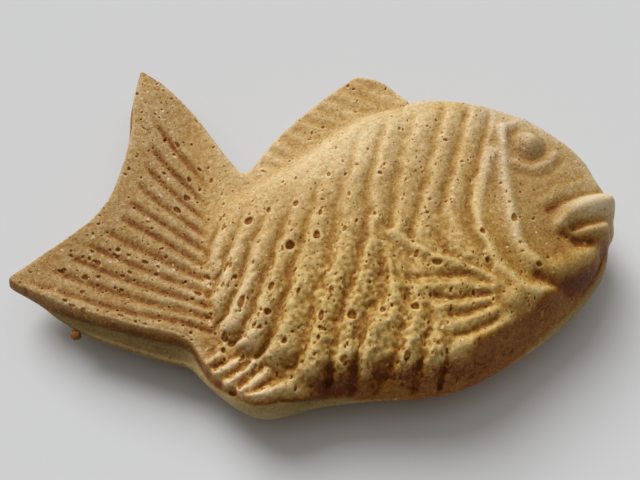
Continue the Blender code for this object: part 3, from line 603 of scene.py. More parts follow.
def tail_grooves(plan):
    """1 along the middle of each groove that fans out over the tail."""
    x = plan.x - TAIL_PIVOT[0]
    y = plan.y - TAIL_PIVOT[1]
    reach = np.hypot(x, y)
    # their outer ends bend a little towards the upper lobe
    turn = np.degrees(np.arctan2(y, x)) + 0.05 * (reach - 70.0) * smooth_step(70, 90, reach)
    turn += 0.25 * unevenness(plan.x, plan.y, 30.0, seed=5)
    number = (turn - TAIL_FIRST) / TAIL_STEP
    # and they aren't spaced quite evenly
    number -= 0.2 * smooth_step(2.5, 0.5, number)
    number -= 0.2 * smooth_step(5, 7, number) * smooth_step(48, 62, reach)
    nearest = np.clip(np.round(number), 0, TAIL_GROOVES - 1)
    aside = np.radians((number - nearest) * TAIL_STEP) * reach
    margin = TAIL_MARGIN + (TAIL_MARGIN_TOP - TAIL_MARGIN) * smooth_step(0, 20, plan.y)
    margin += (TAIL_MARGIN_LOW - TAIL_MARGIN) * smooth_step(TAIL_GROOVES - 2.0, TAIL_GROOVES - 1.4, number)
    ends = smooth_step(-1.3, 2.7, plan.from_upper - margin) * smooth_step(1, -3.5, plan.x - TAIL_ROOT_X)
    return np.exp(-(aside / TAIL_WIDTH) ** 2) * ends


def fin_rays(plan):
    """Shallow waves over the dorsal fin, across its outer edge."""
    angle = np.radians(RAY_ANGLE)
    across = plan.y * np.cos(angle) - plan.x * np.sin(angle)
    wave = np.cos(2.0 * np.pi * across / RAY_PITCH)
    on_fin = smooth_step(0.5, -1.5, plan.from_body) * smooth_step(-18, -12, plan.x)
    return wave * on_fin * smooth_step(1, 2.5, plan.from_upper) * (plan.y > 0.0)


def stroke(plan, half_width, points):
    """1 along the middle of a single ridge or groove, fading to its sides."""
    away = distance_to_line(plan.x, plan.y, smooth_line(points, steps=6))
    return np.exp(-(away / half_width) ** 2)


def dome(plan, centre, radii, turn):
    """1 at the top of a rounded bump and 0 around it."""
    angle = np.radians(turn)
    x = plan.x - centre[0]
    y = plan.y - centre[1]
    along = (x * np.cos(angle) + y * np.sin(angle)) / radii[0]
    across = (y * np.cos(angle) - x * np.sin(angle)) / radii[1]
    return np.clip(1.0 - along ** 2 - across ** 2, 0.0, 1.0) ** DOME_POWER


def relief(plan):
    """The fish's markings, as a height on the smooth body, fins and tail, that ends at their edge."""
    rib_height = RIB_HEIGHT + (RIB_HEIGHT_LOW - RIB_HEIGHT) * smooth_step(12, -22, plan.y)
    height = rib_height * rib_waves(plan) - TAIL_DEPTH * tail_grooves(plan)
    height += RAY_HEIGHT * fin_rays(plan)
    for rise, half_width, points in STROKES.values():
        height += rise * stroke(plan, half_width, points)
    for rise, centre, radii, turn in DOMES.values():
        height += rise * dome(plan, centre, radii, turn)
    return height * smooth_step(0, 0.9, plan.from_upper)


def side_slope(plan, joined):
    """How steeply the body's side climbs at each point; joined is 1 where it climbs out of a fin."""
    belly = between(plan.x, -2, 54, 8) * (plan.y < MIDDLE_Y)
    lips = smooth_step(60, 66, plan.x) * between(plan.y, -11, 5, 6)
    slope = BODY_SLOPE + (BELLY_SLOPE - BODY_SLOPE) * belly + (LIP_SLOPE - BODY_SLOPE) * lips
    join_slope = JOIN_SLOPE + (ROOT_SLOPE - JOIN_SLOPE) * smooth_step(-12, -27, plan.x)
    return slope + (join_slope - slope) * joined


def side_and_crown(plan, from_body, rise, root_rise, fin_rise):
    """Heights above the body's edge of its steep side and of the low crown that ends it."""
    joined = smooth_step(*JOIN_GAP, plan.from_upper - plan.from_body)
    top = root_rise + (rise - root_rise) * smooth_step(-34, 6, plan.x)
    crown = top - SHOULDER * np.exp(-np.maximum(from_body, 0.0) / CROWN_REACH)
    side = joined * (fin_rise - JOIN_SUNK) + side_slope(plan, joined) * from_body
    return side, crown, joined


def body_height(plan, from_body, rise, root_rise, fin_rise):
    """The smooth thick body above its own edge: a steep side, then a low crown."""
    side, crown, _ = side_and_crown(plan, from_body, rise, root_rise, fin_rise)
    blend = EDGE_BLEND + (HEAD_BLEND - EDGE_BLEND) * smooth_step(20, 42, plan.x)
    return soft_min(side, crown, blend + (LIP_BLEND - HEAD_BLEND) * smooth_step(65, 70, plan.x))


def face_height(plan, from_edge, rise, root_rise, fin_rise):
    """Body and fins together above the edge that they rise from."""
    swollen = plan.from_body + RIB_SWELL * rib_waves(plan)
    body = body_height(plan, swollen, rise, root_rise, fin_rise)
    tips = smooth_step(-62, -77, plan.x) + smooth_step(44, 60, plan.y) * (plan.x < -20.0)
    fins = soft_min(FIN_SLOPE * from_edge, fin_rise * (1.0 - TIP_THINNING * tips), FIN_BLEND)
    # only where a fin is there beside the body
    present = smooth_step(0.2, 2.2, plan.from_upper - plan.from_body)
    return np.maximum(soft_max(body, fins * present, JOIN_BLEND), 0.0)


def rim_height(plan, rounding):
    """The rim's top: level where it is narrow, sloping down to a thin bead where it is wide."""
    width = np.maximum(plan.from_rim - plan.from_upper, 0.1)
    wide = smooth_step(*WIDE_RIM, width) * smooth_step(2, 0, plan.from_upper)
    bead = RIM_BEAD * np.exp(-((plan.from_rim - BEAD_PLACE) / BEAD_WIDTH) ** 2)
    slope = RIM_SLANT * smooth_step(0.12, 0.9, plan.from_rim / width) + bead
    level = RIM_DROP * rounding
    return SEAM - RIM_DROP + level + (slope - level) * wide


def rim_folds(plan):
    """Creases that run along the rim, outside the upper half's edge."""
    wander = FOLD_WANDER * unevenness(plan.x, plan.y, 14.0, seed=31)
    folds = FOLD_RISE * np.sin(2.0 * np.pi * plan.from_rim / FOLD_PITCH + wander)
    return folds * smooth_step(0.4, 1.2, plan.from_rim) * smooth_step(0.2, -0.6, plan.from_upper)


def upper_face(x, y):
    """Height of the upper face at each point in plan."""
    plan = Plan(x, y)
    inner = np.clip(plan.from_rim / RIM_ROUND, 0.0, 1.0)
    rounding = np.sqrt(1.0 - (1.0 - inner) ** 2)
    puff_away = np.hypot(x - PUFF_CENTRE[0], y - PUFF_CENTRE[1])
    puff = PUFF_RISE * smooth_step(PUFF_REACH, 0.3 * PUFF_REACH, puff_away) * rounding
    puff += rim_folds(plan) * (puff > 0.3)
    rise = face_height(plan, plan.from_upper, BODY_RISE, ROOT_RISE, FIN_RISE)
    sag = SAG * unevenness(x, y, 18.0, seed=8) * inner
    return rim_height(plan, rounding) + np.maximum(rise, puff) + relief(plan) + sag


def lower_face(x, y):
    """Height of the lower face at each point in plan, flat where the cake rests."""
    plan = Plan(x, y)
    depth = face_height(plan, plan.from_rim, BODY_DEPTH, ROOT_DEPTH, FIN_DEPTH) + relief(plan)
    pad = dome(plan, PAD_CENTRE, PAD_RADII, 0.0)
    depth += PAD_DROP * smooth_step(0, 0.25, pad)
    return np.maximum(SEAM - RIM_DROP - depth, 0.0)


def grid(low, high, spacing):
    """Staggered rows of points over a box."""
    rows = []
    for number, y in enumerate(np.arange(low[1], high[1], spacing * np.sqrt(0.75))):
        x = np.arange(low[0] + spacing * (number % 2) / 2.0, high[0], spacing)
        rows.append(np.column_stack((x, np.full(len(x), y))))
    return np.vstack(rows)


def plan_points(rim, coarse, fine):
    """Points inside the rim, closer together where the sides are steep."""
    chosen = []
    for spacing, steep_wanted in ((fine, True), (coarse, False)):
        points = grid(rim.min(axis=0), rim.max(axis=0), spacing)
        plan = Plan(*points.T)
        steep = plan.from_upper < STEEP_WIDTH
        # the body's own side, which is steep everywhere but next to the tail
        steep |= (plan.from_body > -1.0) & (plan.from_body < STEEP_WIDTH) & (plan.x > -24.0)
        chosen.append(points[(plan.from_rim > 0.6 * fine) & (steep == steep_wanted)])
    return np.vstack(chosen)


def pit_turn(x, y):
    """Direction of the rib or ray at each place, in radians."""
    along_ray = np.arctan2(y - TAIL_PIVOT[1], x - TAIL_PIVOT[0])
    along_rib = np.full_like(along_ray, math.atan2(1.0, RIB_LEAN))
    return np.where(x < TAIL_ROOT_X, along_ray, along_rib)


def small_pits(count, seed):
    """Seeded small pits: many on the ribs' crests and in the tail's grooves, few on the head."""
    random = np.random.RandomState(seed)
    places = random.uniform(*PIT_BOX, (PIT_TRIES * count, 2))
    plan = Plan(*places.T)
    wanted = 0.25 + 0.55 * np.clip(rib_waves(plan), -0.3, 1.0) + 0.6 * tail_grooves(plan)
    wanted += 0.25 * (plan.x < -20.0) + 0.3 * (plan.y < -12.0)
    wanted *= 1.0 - 0.85 * smooth_step(44, 50, plan.x)
    chosen = (random.uniform(0.0, 1.0, len(places)) < wanted) & (plan.from_upper > 1.2)
    x, y = places[chosen][:count].T
    low, high = SMALL_PIT
    width = low + (high - low) * random.uniform(0.0, 1.0, len(x)) ** 2.2
    return np.column_stack((x, y, width, width * random.uniform(0.9, 1.8, len(x))))


class Pits:
    """Pits in one face: places, half sizes and directions."""

    def __init__(self, rows):
        self.x, self.y, self.width, self.length = rows.T
        turn = pit_turn(self.x, self.y)
        self.cos = np.cos(turn)
        self.sin = np.sin(turn)

    def local(self, number, x, y):
        """Distance and direction from one pit's middle, in its own measure: 1 on its rim."""
        dx, dy = x - self.x[number], y - self.y[number]
        along = (dx * self.cos[number] + dy * self.sin[number]) / self.length[number]
        across = (dy * self.cos[number] - dx * self.sin[number]) / self.width[number]
        return np.hypot(along, across), np.arctan2(across, along)

    def near(self, number, x, y, reach):
        """Which points lie in a box around the pit."""
        size = reach * max(self.width[number], self.length[number])
        return np.flatnonzero((np.abs(x - self.x[number]) < size) & (np.abs(y - self.y[number]) < size))

    def clear(self, points):
        """The points that lie clear of all pits."""
        x, y = points.T
        kept = np.full(len(points), True)
        for number in range(len(self.x)):
            close = self.near(number, x, y, PIT_CLEAR)
            kept[close[self.local(number, x[close], y[close])[0] < PIT_CLEAR]] = False
        return points[kept]

    def rings(self):
        """Points in rings around each pit's middle."""
        points = []
        for number, size in enumerate(np.sqrt(self.width * self.length)):
            around, shares = next(row[1:] for row in PIT_RINGS if size > row[0])
            cos, sin = self.cos[number], self.sin[number]
            for share in shares:
                angles = np.arange(around if share else 1) * 2.0 * np.pi / around + share
                along = share * self.length[number] * np.cos(angles)
                across = share * self.width[number] * np.sin(angles)
                points.append((self.x[number] + along * cos - across * sin,
                               self.y[number] + along * sin + across * cos))
        return np.hstack(points).T

    def sink(self, x, y):
        """How far the pits lower each point, 1 inside a pit, and 1 on the spot of painted highlight below
        its lower lip.
        """
        drop, inside, glint_spot = np.zeros((3, len(x)))
        for number, (width, length) in enumerate(zip(self.width, self.length)):
            close = self.near(number, x, y, PIT_REACH)
            away, angle = self.local(number, x[close], y[close])
            away = away * (1.0 + PIT_RAGGED[0] * np.sin(2.0 * angle + number)
                           + PIT_RAGGED[1] * np.sin(3.0 * angle + 2.0 * number))
            size = min(width, length)
            deep = size * (PIT_DEPTH[0] + PIT_DEPTH[1] * math.sin(7.0 * number))
            bowl = deep * np.sqrt(np.clip(1.0 - away ** 2, 0.0, 1.0))
            drop[close] += bowl - PIT_LIP * size * np.exp(-((away - 1.15) / 0.2) ** 2)
            inside[close] = np.maximum(inside[close], smooth_step(1.03, 0.8, away))
            # a spot of painted highlight below the lower lip of the larger pits, on the side towards -Y
            below = y[close] - self.y[number] + 1.3 * length
            across = (x[close] - self.x[number]) / (0.9 * width)
            painted_glint = np.exp(-(below / (0.35 * length)) ** 2 - across ** 2) * (size > GLINT_PIT)
            glint_spot[close] = np.maximum(glint_spot[close], painted_glint)
        return drop, inside, glint_spot


def lumps(points, weight):
    """Irregular lumps on the crust, as a height along the surface's normal."""
    height = np.zeros(len(points))
    for length, rise, shift, power in LUMPS:
        start = Vector((shift, 0.0, 0.0))
        waves = [noise.noise(Vector(point) / length + start) for point in points.tolist()]
        height += rise * weight ** power * np.array(waves)
    return height


def face_sheet(rim, pits, coarse, fine):
    """Plan points and triangles of one face, whose first points are the rim's."""
    inner = pits.clear(plan_points(rim, coarse, fine))
    rings = pits.rings()
    rings = rings[inset(*rings.T, rim) > 0.3]
    points = np.vstack((rim, inner, rings))
    corners = len(rim)
    edges = [(number, (number + 1) % corners) for number in range(corners)]
    places = [Vector(point) for point in points.tolist()]
    flat, _, triangles, *_ = delaunay_2d_cdt(places, edges, [], 1, 1e-6)
    return np.array([tuple(point) for point in flat]), np.array(triangles)


def normals_of(points, triangles):
    """Unit normals at the points."""
    a, b, c = (points[triangles[:, corner]] for corner in range(3))
    faces = np.cross(b - a, c - a)
    total = np.zeros_like(points)
    for corner in range(3):
        for axis in range(3):
            total[:, axis] += np.bincount(triangles[:, corner], faces[:, axis], len(points))
    return total / np.maximum(np.linalg.norm(total, axis=1), 1e-12)[:, None]


def relaxed(points, triangles, rounds):
    """The points after that many rounds of moving each towards the middle of its neighbours."""
    pairs = np.vstack((triangles[:, [0, 1]], triangles[:, [1, 2]], triangles[:, [2, 0]]))
    pairs = np.vstack((pairs, pairs[:, ::-1]))
    count = np.bincount(pairs[:, 0], minlength=len(points))
    for _ in range(rounds):
        sums = [np.bincount(pairs[:, 0], points[pairs[:, 1], axis], len(points)) for axis in range(3)]
        points = 0.4 * points + 0.6 * np.column_stack(sums) / count[:, None]
    return points


def wall(plan):
    """1 on the steep sides, which touched the iron and are baked darker, and on which shade is painted."""
    swollen = plan.from_body + 2.0 * rib_waves(plan)
    side, crown, joined = side_and_crown(plan, swollen, BODY_RISE, ROOT_RISE, FIN_RISE)
    # the dark side ends raggedly, and higher up between the ribs
    ribbed = smooth_step(32, 24, plan.x)
    ragged = 1.1 * unevenness(plan.x, plan.y, 8.0, seed=41)
    body = smooth_step(2.6 - 0.4 * ribbed, -1.4 - 4.4 * ribbed, side - crown + ragged) * (1.0 - joined)
    fins = 0.6 * smooth_step(1.3, 0.3, plan.from_upper) * joined
    shown = np.maximum(body, fins) * smooth_step(-1, -0.2, plan.from_upper)
    # the edge of the head and the chin are darkened less
    head = smooth_step(38, 52, plan.x) * smooth_step(4, 0.4, plan.from_body)
    chin = smooth_step(58, 66, plan.x) * smooth_step(-22, -16, plan.y)
    return shown * (1.0 - 0.5 * head) * (1.0 - 0.7 * chin)


def crease_shade(plan):
    """How much painted shade darkens the creases, along their middles and fading to their sides."""
    return np.maximum.reduce([amount * stroke(plan, *STROKES[name][1:]) for name, amount in CREASE_SHADE.items()])


def anal_fin_rays(plan):
    """1 along the rays of the anal fin."""
    rays = [STROKES[name][1:] for name in STROKES if "anal ray" in name]
    return np.maximum.reduce([stroke(plan, 0.8 * half_width, points) for half_width, points in rays])


def rim_tone_and_shadow(plan):
    """Where the rim's colour lies between pale and brown: palest next to the anal fin's rear end, and
    darker under the tail, where the tail's shadow is painted on it.
    """
    # the tail's shadow, painted on the rim under it
    tail = smooth_step(-31, -38, plan.x)
    corner = np.exp(-((plan.x + 28.0) / 5.0) ** 2)
    belly = between(plan.x, -12, 40, 6)
    return 0.3 + 0.4 * tail - 0.24 * corner + 0.16 * belly


def browning_and_painted_light(plan):
    """How much darker, or paler, the crust is in each part: partly from baking and partly painted light."""
    total = 0.19 * smooth_step(-22, -30, plan.x) - 0.1 * anal_fin_rays(plan)
    for name in ("gill cover", "arc behind the gill"):
        total -= 0.12 * stroke(plan, *STROKES[name][1:])
    for amount, centre, radii in REGION_BROWNING_AND_LIGHT.values():
        across = (plan.x - centre[0]) / radii[0]
        up = (plan.y - centre[1]) / radii[1]
        total += amount * np.exp(-across ** 2 - up ** 2)
    return total


def crust_marks(plan):
    """What the material needs to know about each place in plan."""
    grooves = tail_grooves(plan)
    creases = crease_shade(plan)
    steep = wall(plan)
    low = smooth_step(14, -24, plan.y)
    head = between(plan.x, 47, 66, 9) * smooth_step(-20, -10, plan.y)
    tail = smooth_step(-26, -34, plan.x)
    anal_fin = smooth_step(-2, -8, plan.x) * smooth_step(-18, -24, plan.y)
    # painted sheen on the head, the tail and the anal fin's rays
    painted_sheen = np.maximum.reduce([head, tail, 0.35 * anal_fin_rays(plan)])
    rim_width = plan.from_rim - plan.from_upper
    return {
        "rim": smooth_step(0.3, -0.4, plan.from_upper) * smooth_step(0.6, 1.2, rim_width),
        # the rim's colour, with the tail's shadow painted on it
        "raw": rim_tone_and_shadow(plan),
        # low on the flank, where shade is painted as a yellower tint and in the hollows
        "low": low * smooth_step(-22, -8, plan.x),
        # low on the flank, in front of the tail, the painted shade in the hollows is stronger
        "deep": low * smooth_step(-36, -26, plan.x),
        "painted_sheen": painted_sheen * smooth_step(0.55, 0, steep),
        "speckled": np.maximum(low, smooth_step(-28, -36, plan.x)),
        # where shade is painted in the tail's grooves and the creases
        "groove": np.maximum(grooves, creases),
        # redder where baked darkest and where shade is painted: the tail's grooves, the creases and the
        # steep sides
        "burnt_and_shaded": 0.35 * grooves + (0.3 + 0.8 * anal_fin) * creases + 0.75 * steep,
        # baking, and painted light: paler back, nape and lips, darker cheek
        "browning_and_painted_light": browning_and_painted_light(plan),
        # the steep sides, darker from baking and from painted shade
        "wall": steep,
    }


def lump_weight(plan):
    """How lumpy the crust is: lumpiest low on the flank, smoothest on the head."""
    low_flank = smooth_step(4, -22, plan.y) * smooth_step(38, 26, plan.x)
    low_flank *= smooth_step(-34, -26, plan.x) * (1.0 - 0.45 * smooth_step(0, -12, plan.x))
    on_fin = smooth_step(-1.4, 0.6, inset(plan.x, plan.y, np.array(PECTORAL)))
    weight = 0.65 + low_flank * (1.0 - 0.5 * on_fin) - 0.5 * smooth_step(42, 48, plan.x)
    return weight * smooth_step(0, 1.5, plan.from_rim)


def joined_faces(rim, upper_pits, lower_pits):
    """Points and triangles of both faces around one rim, and which points are the upper face's."""
    upper_flat, upper_triangles = face_sheet(rim, upper_pits, UPPER_SPACING, UPPER_FINE)
    lower_flat, lower_triangles = face_sheet(rim, lower_pits, LOWER_SPACING, LOWER_FINE)
    corners = len(rim)
    upper_z = upper_face(*upper_flat.T)
    lower_z = lower_face(*lower_flat.T)
    upper_z[:corners] = lower_z[:corners] = SEAM - RIM_DROP
    moved = lower_triangles + len(upper_flat) - corners
    lower_triangles = np.where(lower_triangles < corners, lower_triangles, moved)
    triangles = np.vstack((upper_triangles, lower_triangles[:, ::-1]))
    points = np.vstack((np.column_stack((upper_flat, upper_z)),
                        np.column_stack((lower_flat, lower_z))[corners:]))
    return points, triangles, np.arange(len(points)) < len(upper_flat)


def cake_mesh():
    """The cake's points in millimetres, its triangles, and what the material needs at each point."""
    _, rim = edge_rings(RIM_POINTS)
    named = np.vstack(list(PITS.values()))
    upper_pits = Pits(np.vstack((named, small_pits(SMALL_PITS, seed=4))))
    lower_pits = Pits(small_pits(LOWER_PITS, seed=9))
    points, triangles, upper = joined_faces(rim, upper_pits, lower_pits)
    plan = Plan(*points[:, :2].T)

    weight = lump_weight(plan) * np.where(upper, 1.0, smooth_step(*FLAT_FADE, points[:, 2]))
    points = points + normals_of(points, triangles) * lumps(points, weight)[:, None]
    drop, pit, glint_spot = upper_pits.sink(*points[:, :2].T)
    lower_drop, lower_pit, _ = lower_pits.sink(*points[:, :2].T)
    lift = lower_drop * smooth_step(*FLAT_FADE, points[:, 2])
    points[:, 2] = np.maximum(points[:, 2] + np.where(upper, -drop, lift), 0.0)

    normals = normals_of(points, triangles)
    near = relaxed(points, triangles, 3)
    far = relaxed(points, triangles, 40)
    marks = {
        "pit": np.where(upper, pit, lower_pit),
        # the painted highlight below the pits
        "painted_glint": np.where(upper, glint_spot, 0.0),
        # how far each point lies down in a crease and in a hollow: the material paints shade in them and a
        # highlight on the tops between
        "crevice": ((near - points) * normals).sum(axis=1),
        "hollow": ((far - points) * normals).sum(axis=1),
    }
    return points, triangles, {**marks, **crust_marks(plan)}


class Graph:
    """Short ways to add shader nodes and to join them."""

    def __init__(self, material):
        material.use_nodes = True
        self.tree = material.node_tree
        self.shader = self.tree.nodes["Principled BSDF"]

    def join(self, value, socket):
        if isinstance(value, bpy.types.NodeSocket):
            self.tree.links.new(value, socket)
        else:
            socket.default_value = value

    def node(self, kind, settings=(), **inputs):
        node = self.tree.nodes.new(kind)
        for name, value in dict(settings).items():
            setattr(node, name, value)
        for name, value in inputs.items():
            self.join(value, node.inputs[name.replace("_", " ")])
        return node

    def math(self, operation, a, b):
        node = self.node("ShaderNodeMath", {"operation": operation})
        self.join(a, node.inputs[0])
        self.join(b, node.inputs[1])
        return node.outputs[0]

    def times(self, a, b):
        return self.math("MULTIPLY", a, b)

    def minus(self, a, b):
        return self.math("SUBTRACT", a, b)

    def plus(self, *terms):
        total = terms[0]
        for term in terms[1:]:
            total = self.math("ADD", total, term)
        return total

    def spread(self, value, low, high, to_low=0.0, to_high=1.0):
        """value between low and high, moved to the other range and kept in it."""
        node = self.node("ShaderNodeMapRange", {"interpolation_type": "SMOOTHSTEP"})
        for name, given in zip(("Value", "From Min", "From Max", "To Min", "To Max"),
                               (value, low, high, to_low, to_high)):
            self.join(given, node.inputs[name])
        return node.outputs["Result"]

    def mark(self, name):
        """A number that the mesh carries at each point."""
        return self.node("ShaderNodeAttribute", {"attribute_name": name}).outputs["Fac"]

    def noise(self, place, length, detail=2.0, roughness=0.5):
        """Noise of about that wavelength in millimetres, around 0.5."""
        node = self.node("ShaderNodeTexNoise", Vector=place, Scale=1.0 / (length * MM), Detail=detail,
                         Roughness=roughness)
        return node.outputs["Fac"]

    def spots(self, place, length, sizes, softness):
        """1 inside soft round spots scattered about that far apart, with sizes in the range."""
        cells = self.node("ShaderNodeTexVoronoi", {"feature": "F1"}, Vector=place, Scale=1.0 / (length * MM))
        chance = self.node("ShaderNodeSeparateColor", Color=cells.outputs["Color"]).outputs[0]
        size = self.spread(chance, 0.35, 1.0, *sizes)
        return self.spread(self.minus(cells.outputs["Distance"], size), softness, -softness)

    def shifted(self, place, scale, amount):
        """The place, moved irregularly by up to that amount in metres."""
        noise = self.node("ShaderNodeTexNoise", Vector=place, Scale=scale, Detail=1.0)
        shift = self.node("ShaderNodeVectorMath", {"operation": "SCALE"}, Scale=amount)
        self.join(noise.outputs["Color"], shift.inputs[0])
        moved = self.node("ShaderNodeVectorMath", {"operation": "ADD"})
        self.join(place, moved.inputs[0])
        self.join(shift.outputs[0], moved.inputs[1])
        return moved.outputs[0]

    def ramp(self, factor, stops):
        node = self.node("ShaderNodeValToRGB", Fac=factor)
        ramp = node.color_ramp
        for number, (at, colour) in enumerate(stops):
            stop = ramp.elements[number] if number < 2 else ramp.elements.new(at)
            stop.position = at
            stop.color = (*colour, 1.0)
        return node.outputs["Color"]

    def mix(self, factor, a, b, blend="MIX"):
        node = self.node("ShaderNodeMix", {"data_type": "RGBA", "blend_type": blend})
        self.join(factor, node.inputs[0])
        self.join(a if isinstance(a, bpy.types.NodeSocket) else (*a, 1.0), node.inputs[6])
        self.join(b if isinstance(b, bpy.types.NodeSocket) else (*b, 1.0), node.inputs[7])
        return node.outputs[2]

    def tinted(self, share, colour, tint):
        """The colour, multiplied by the tint to that share."""
        return self.mix(share, colour, self.mix(1.0, colour, tint, "MULTIPLY"))


def baked_amount(graph, mottle, pore, fleck, open_face):
    """How dark the crust is at each place, from 0 for raw to 1 for the most baked: how far it is baked,
    with painted shade added in hollows, creases, grooves, pits and on the steep sides, and painted
    highlights taken off on the tops of lumps and below the pits.
    """
    browned_and_shaded = {name: graph.spread(graph.mark(name), *given) for name, given in MARK_BROWNING_AND_SHADE.items()}
    # painted shade in the hollows, stronger low on the flank and weaker on the steep sides
    deep = graph.times(graph.plus(0.6, graph.mark("deep")), open_face)
    return graph.plus(
        BAKED_USUALLY,
        # paler in the painted highlight below the pits
        graph.times(graph.mark("painted_glint"), GLINT_PALING),
        # baking by region, with painted light on the back, nape, lips and cheek
        graph.mark("browning_and_painted_light"),
        mottle,
        # painted shade in the hollows and creases, and a painted highlight on the tops of lumps
        graph.times(browned_and_shaded["hollow"], deep),
        graph.times(browned_and_shaded["crevice"], open_face),
        # darker on the steep sides: baking and painted shade
        browned_and_shaded["wall"],
        # painted shade in the tail's grooves and the creases
        graph.times(graph.mark("groove"), GROOVE_SHADE),
        # painted shade inside the pits
        browned_and_shaded["pit"],
        graph.times(pore, PORE_BROWNING),
        graph.times(fleck, browned_and_shaded["speckled"]))


def crust():
    """Matt baked batter: mottled golden brown, with pores and pale flecks. Painted shade makes it darker
    in pits, hollows, creases and grooves and on the steep sides, with a painted highlight below the
    pits and on the tops of lumps, and a painted sheen on the head and the tail.
    """
    material = bpy.data.materials.new("baked crust")
    graph = Graph(material)
    place = graph.node("ShaderNodeTexCoord").outputs["Object"]
    mottle = graph.plus(*[graph.times(graph.minus(graph.noise(place, *waves), 0.5), amount)
                          for *waves, amount in MOTTLE])
    open_face = graph.minus(1.0, graph.times(graph.mark("wall"), 0.7))
    pore = graph.times(graph.spots(place, *PORES), open_face)
    fleck = graph.spots(graph.shifted(place, *FLECK_SHIFT), *FLECKS)

    colour = graph.ramp(baked_amount(graph, mottle, pore, fleck, open_face), BAKED)
    # painted shade low on the flank, between the flecks, as a yellower tint
    between_flecks = graph.minus(1.0, graph.times(fleck, 0.8))
    colour = graph.tinted(graph.times(graph.mark("low"), between_flecks), colour, LOW_SHADE_TINT)
    # a painted sheen on the head and the tail, kept off the steep sides
    colour = graph.tinted(graph.mark("painted_sheen"), colour, SHEEN_TINT)
    # redder where baked darkest and in painted shade, also inside the pits
    burnt_and_shaded = graph.plus(graph.mark("burnt_and_shaded"), graph.times(graph.mark("pit"), 0.7))
    colour = graph.tinted(burnt_and_shaded, colour, BURNT_AND_SHADE_TINT)
    raw = graph.ramp(graph.plus(graph.mark("raw"), graph.times(mottle, 0.8)), RAW)
    graph.join(graph.mix(graph.mark("rim"), colour, raw), graph.shader.inputs["Base Color"])

    roughness = graph.spread(graph.noise(place, 1.2, 3.0), 0.3, 0.7, 0.5, 0.68)
    graph.join(roughness, graph.shader.inputs["Roughness"])
    for name, value in CRUST_SHADER.items():
        graph.shader.inputs[name].default_value = value
    grain = graph.plus(graph.times(graph.noise(place, 0.55, 3.0, 0.6), 0.5),
                       graph.times(graph.noise(place, 1.4, 2.0), 0.8),
                       graph.times(pore, -0.8), graph.times(fleck, 0.35))
    bump = graph.node("ShaderNodeBump", Strength=1.0, Distance=GRAIN_HEIGHT * MM, Height=grain)
    graph.join(bump.outputs["Normal"], graph.shader.inputs["Normal"])
    return material


def add_mesh(name, points, triangles, marks, material):
    """A smooth-shaded mesh object from points in millimetres."""
    mesh = bpy.data.meshes.new(name)
    mesh.from_pydata((points * MM).tolist(), [], triangles.tolist())
    for label, values in marks.items():
        mesh.attributes.new(label, "FLOAT", "POINT").data.foreach_set("value", values.astype(np.float32))
    mesh.materials.append(material)
    mesh.shade_smooth()
    piece = bpy.data.objects.new(name, mesh)
    bpy.context.scene.collection.objects.link(piece)
    return piece


def add_cake():
    """The cake, with the middle of its mesh on the middle of the CAD node."""
    points, triangles, marks = cake_mesh()
    low, high = (np.array(corner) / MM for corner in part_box("taiyaki"))
    middle = (points.min(axis=0) + points.max(axis=0) - low - high) / 2.0
    points = points - (middle[0], middle[1], 0.0)
    cake = add_mesh("cake", points, triangles, marks, crust())
    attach(cake, "root")
    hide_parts("taiyaki")


def add_crumb():
    """A crumb of browned batter on the tail's lower edge."""
    form = bmesh.new()
    bmesh.ops.create_icosphere(form, subdivisions=4, radius=CRUMB_RADIUS)
    form.verts.index_update()
    triangles = np.array([[vertex.index for vertex in face.verts] for face in form.faces])
    points = []
    for vertex in form.verts:
        ray = vertex.co.normalized()
        swell = sum(height * noise.noise(ray * number) for number, height in CRUMB_LUMPS)
        points.append(vertex.co * (1.0 + swell))
    points = np.array(points) * (1.0, 1.0, CRUMB_FLATTENED) + CRUMB_PLACE
    form.free()
    brown = np.full(len(points), CRUMB_BROWNING)
    crumb = add_mesh("crumb", points, triangles, {"browning_and_painted_light": brown}, crust())
    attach(crumb, "root")


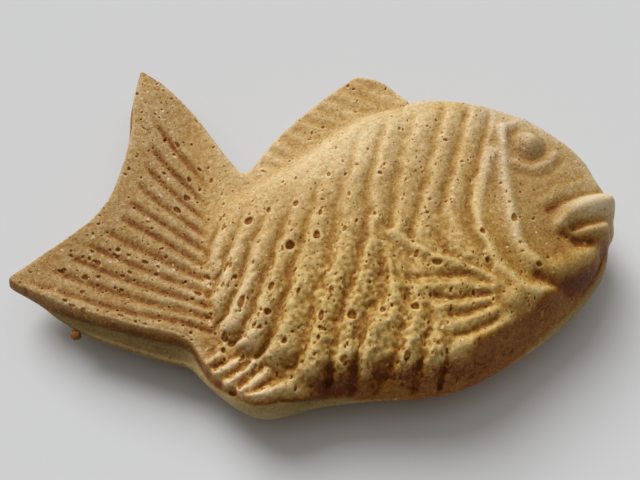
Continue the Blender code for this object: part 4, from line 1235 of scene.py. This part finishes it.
def add_floor():
    material = bpy.data.materials.new("floor")
    shader = Graph(material).shader
    shader.inputs["Base Color"].default_value = (FLOOR_GREY, FLOOR_GREY, FLOOR_GREY, 1.0)
    shader.inputs["Roughness"].default_value = 0.9
    shader.inputs["Specular IOR Level"].default_value = 0.0
    corners = FLOOR_HALF * np.array([(-1, -1, 0), (1, -1, 0), (1, 1, 0), (-1, 1, 0)])
    add_mesh("floor", corners, np.array([(0, 1, 2, 3)]), {}, material)


def aim(thing, place, target):
    """Puts a camera or light at a place, looking at the target."""
    thing.location = place
    thing.rotation_euler = (target - place).to_track_quat("-Z", "Y").to_euler()
    bpy.context.scene.collection.objects.link(thing)


def direction(azimuth, elevation):
    """Unit vector towards a compass direction, counter-clockwise from +X, and a height, in degrees."""
    turn, rise = math.radians(azimuth), math.radians(elevation)
    return Vector((math.cos(turn) * math.cos(rise), math.sin(turn) * math.cos(rise), math.sin(rise)))


def add_sun(name, azimuth, elevation, strength, softness):
    """A light so far away that it is even all over, softness degrees wide."""
    light = bpy.data.lights.new(name, "SUN")
    light.color = SUN_COLOUR
    light.energy = strength
    light.angle = math.radians(softness)
    aim(bpy.data.objects.new(name, light), direction(azimuth, elevation), Vector((0.0, 0.0, 0.0)))


def add_lights():
    for name, settings in SUNS.items():
        add_sun(name, *settings)
    world = bpy.data.worlds.new("studio")
    bpy.context.scene.world = world
    world.use_nodes = True
    background = world.node_tree.nodes["Background"]
    background.inputs["Color"].default_value = (*FILL_COLOUR, 1.0)
    background.inputs["Strength"].default_value = FILL_STRENGTH


def add_camera():
    camera = bpy.data.cameras.new("camera")
    camera.lens = 50.0
    camera.sensor_width = 36.0
    target = Vector(CAMERA_TARGET) * MM
    camera_object = bpy.data.objects.new("camera", camera)
    aim(camera_object, target + direction(CAMERA_AZIMUTH, CAMERA_ELEVATION) * CAMERA_DISTANCE * MM, target)
    bpy.context.scene.camera = camera_object


add_cake()
add_crumb()
add_floor()
add_lights()
add_camera()
bpy.context.scene.view_settings.view_transform = "Standard"
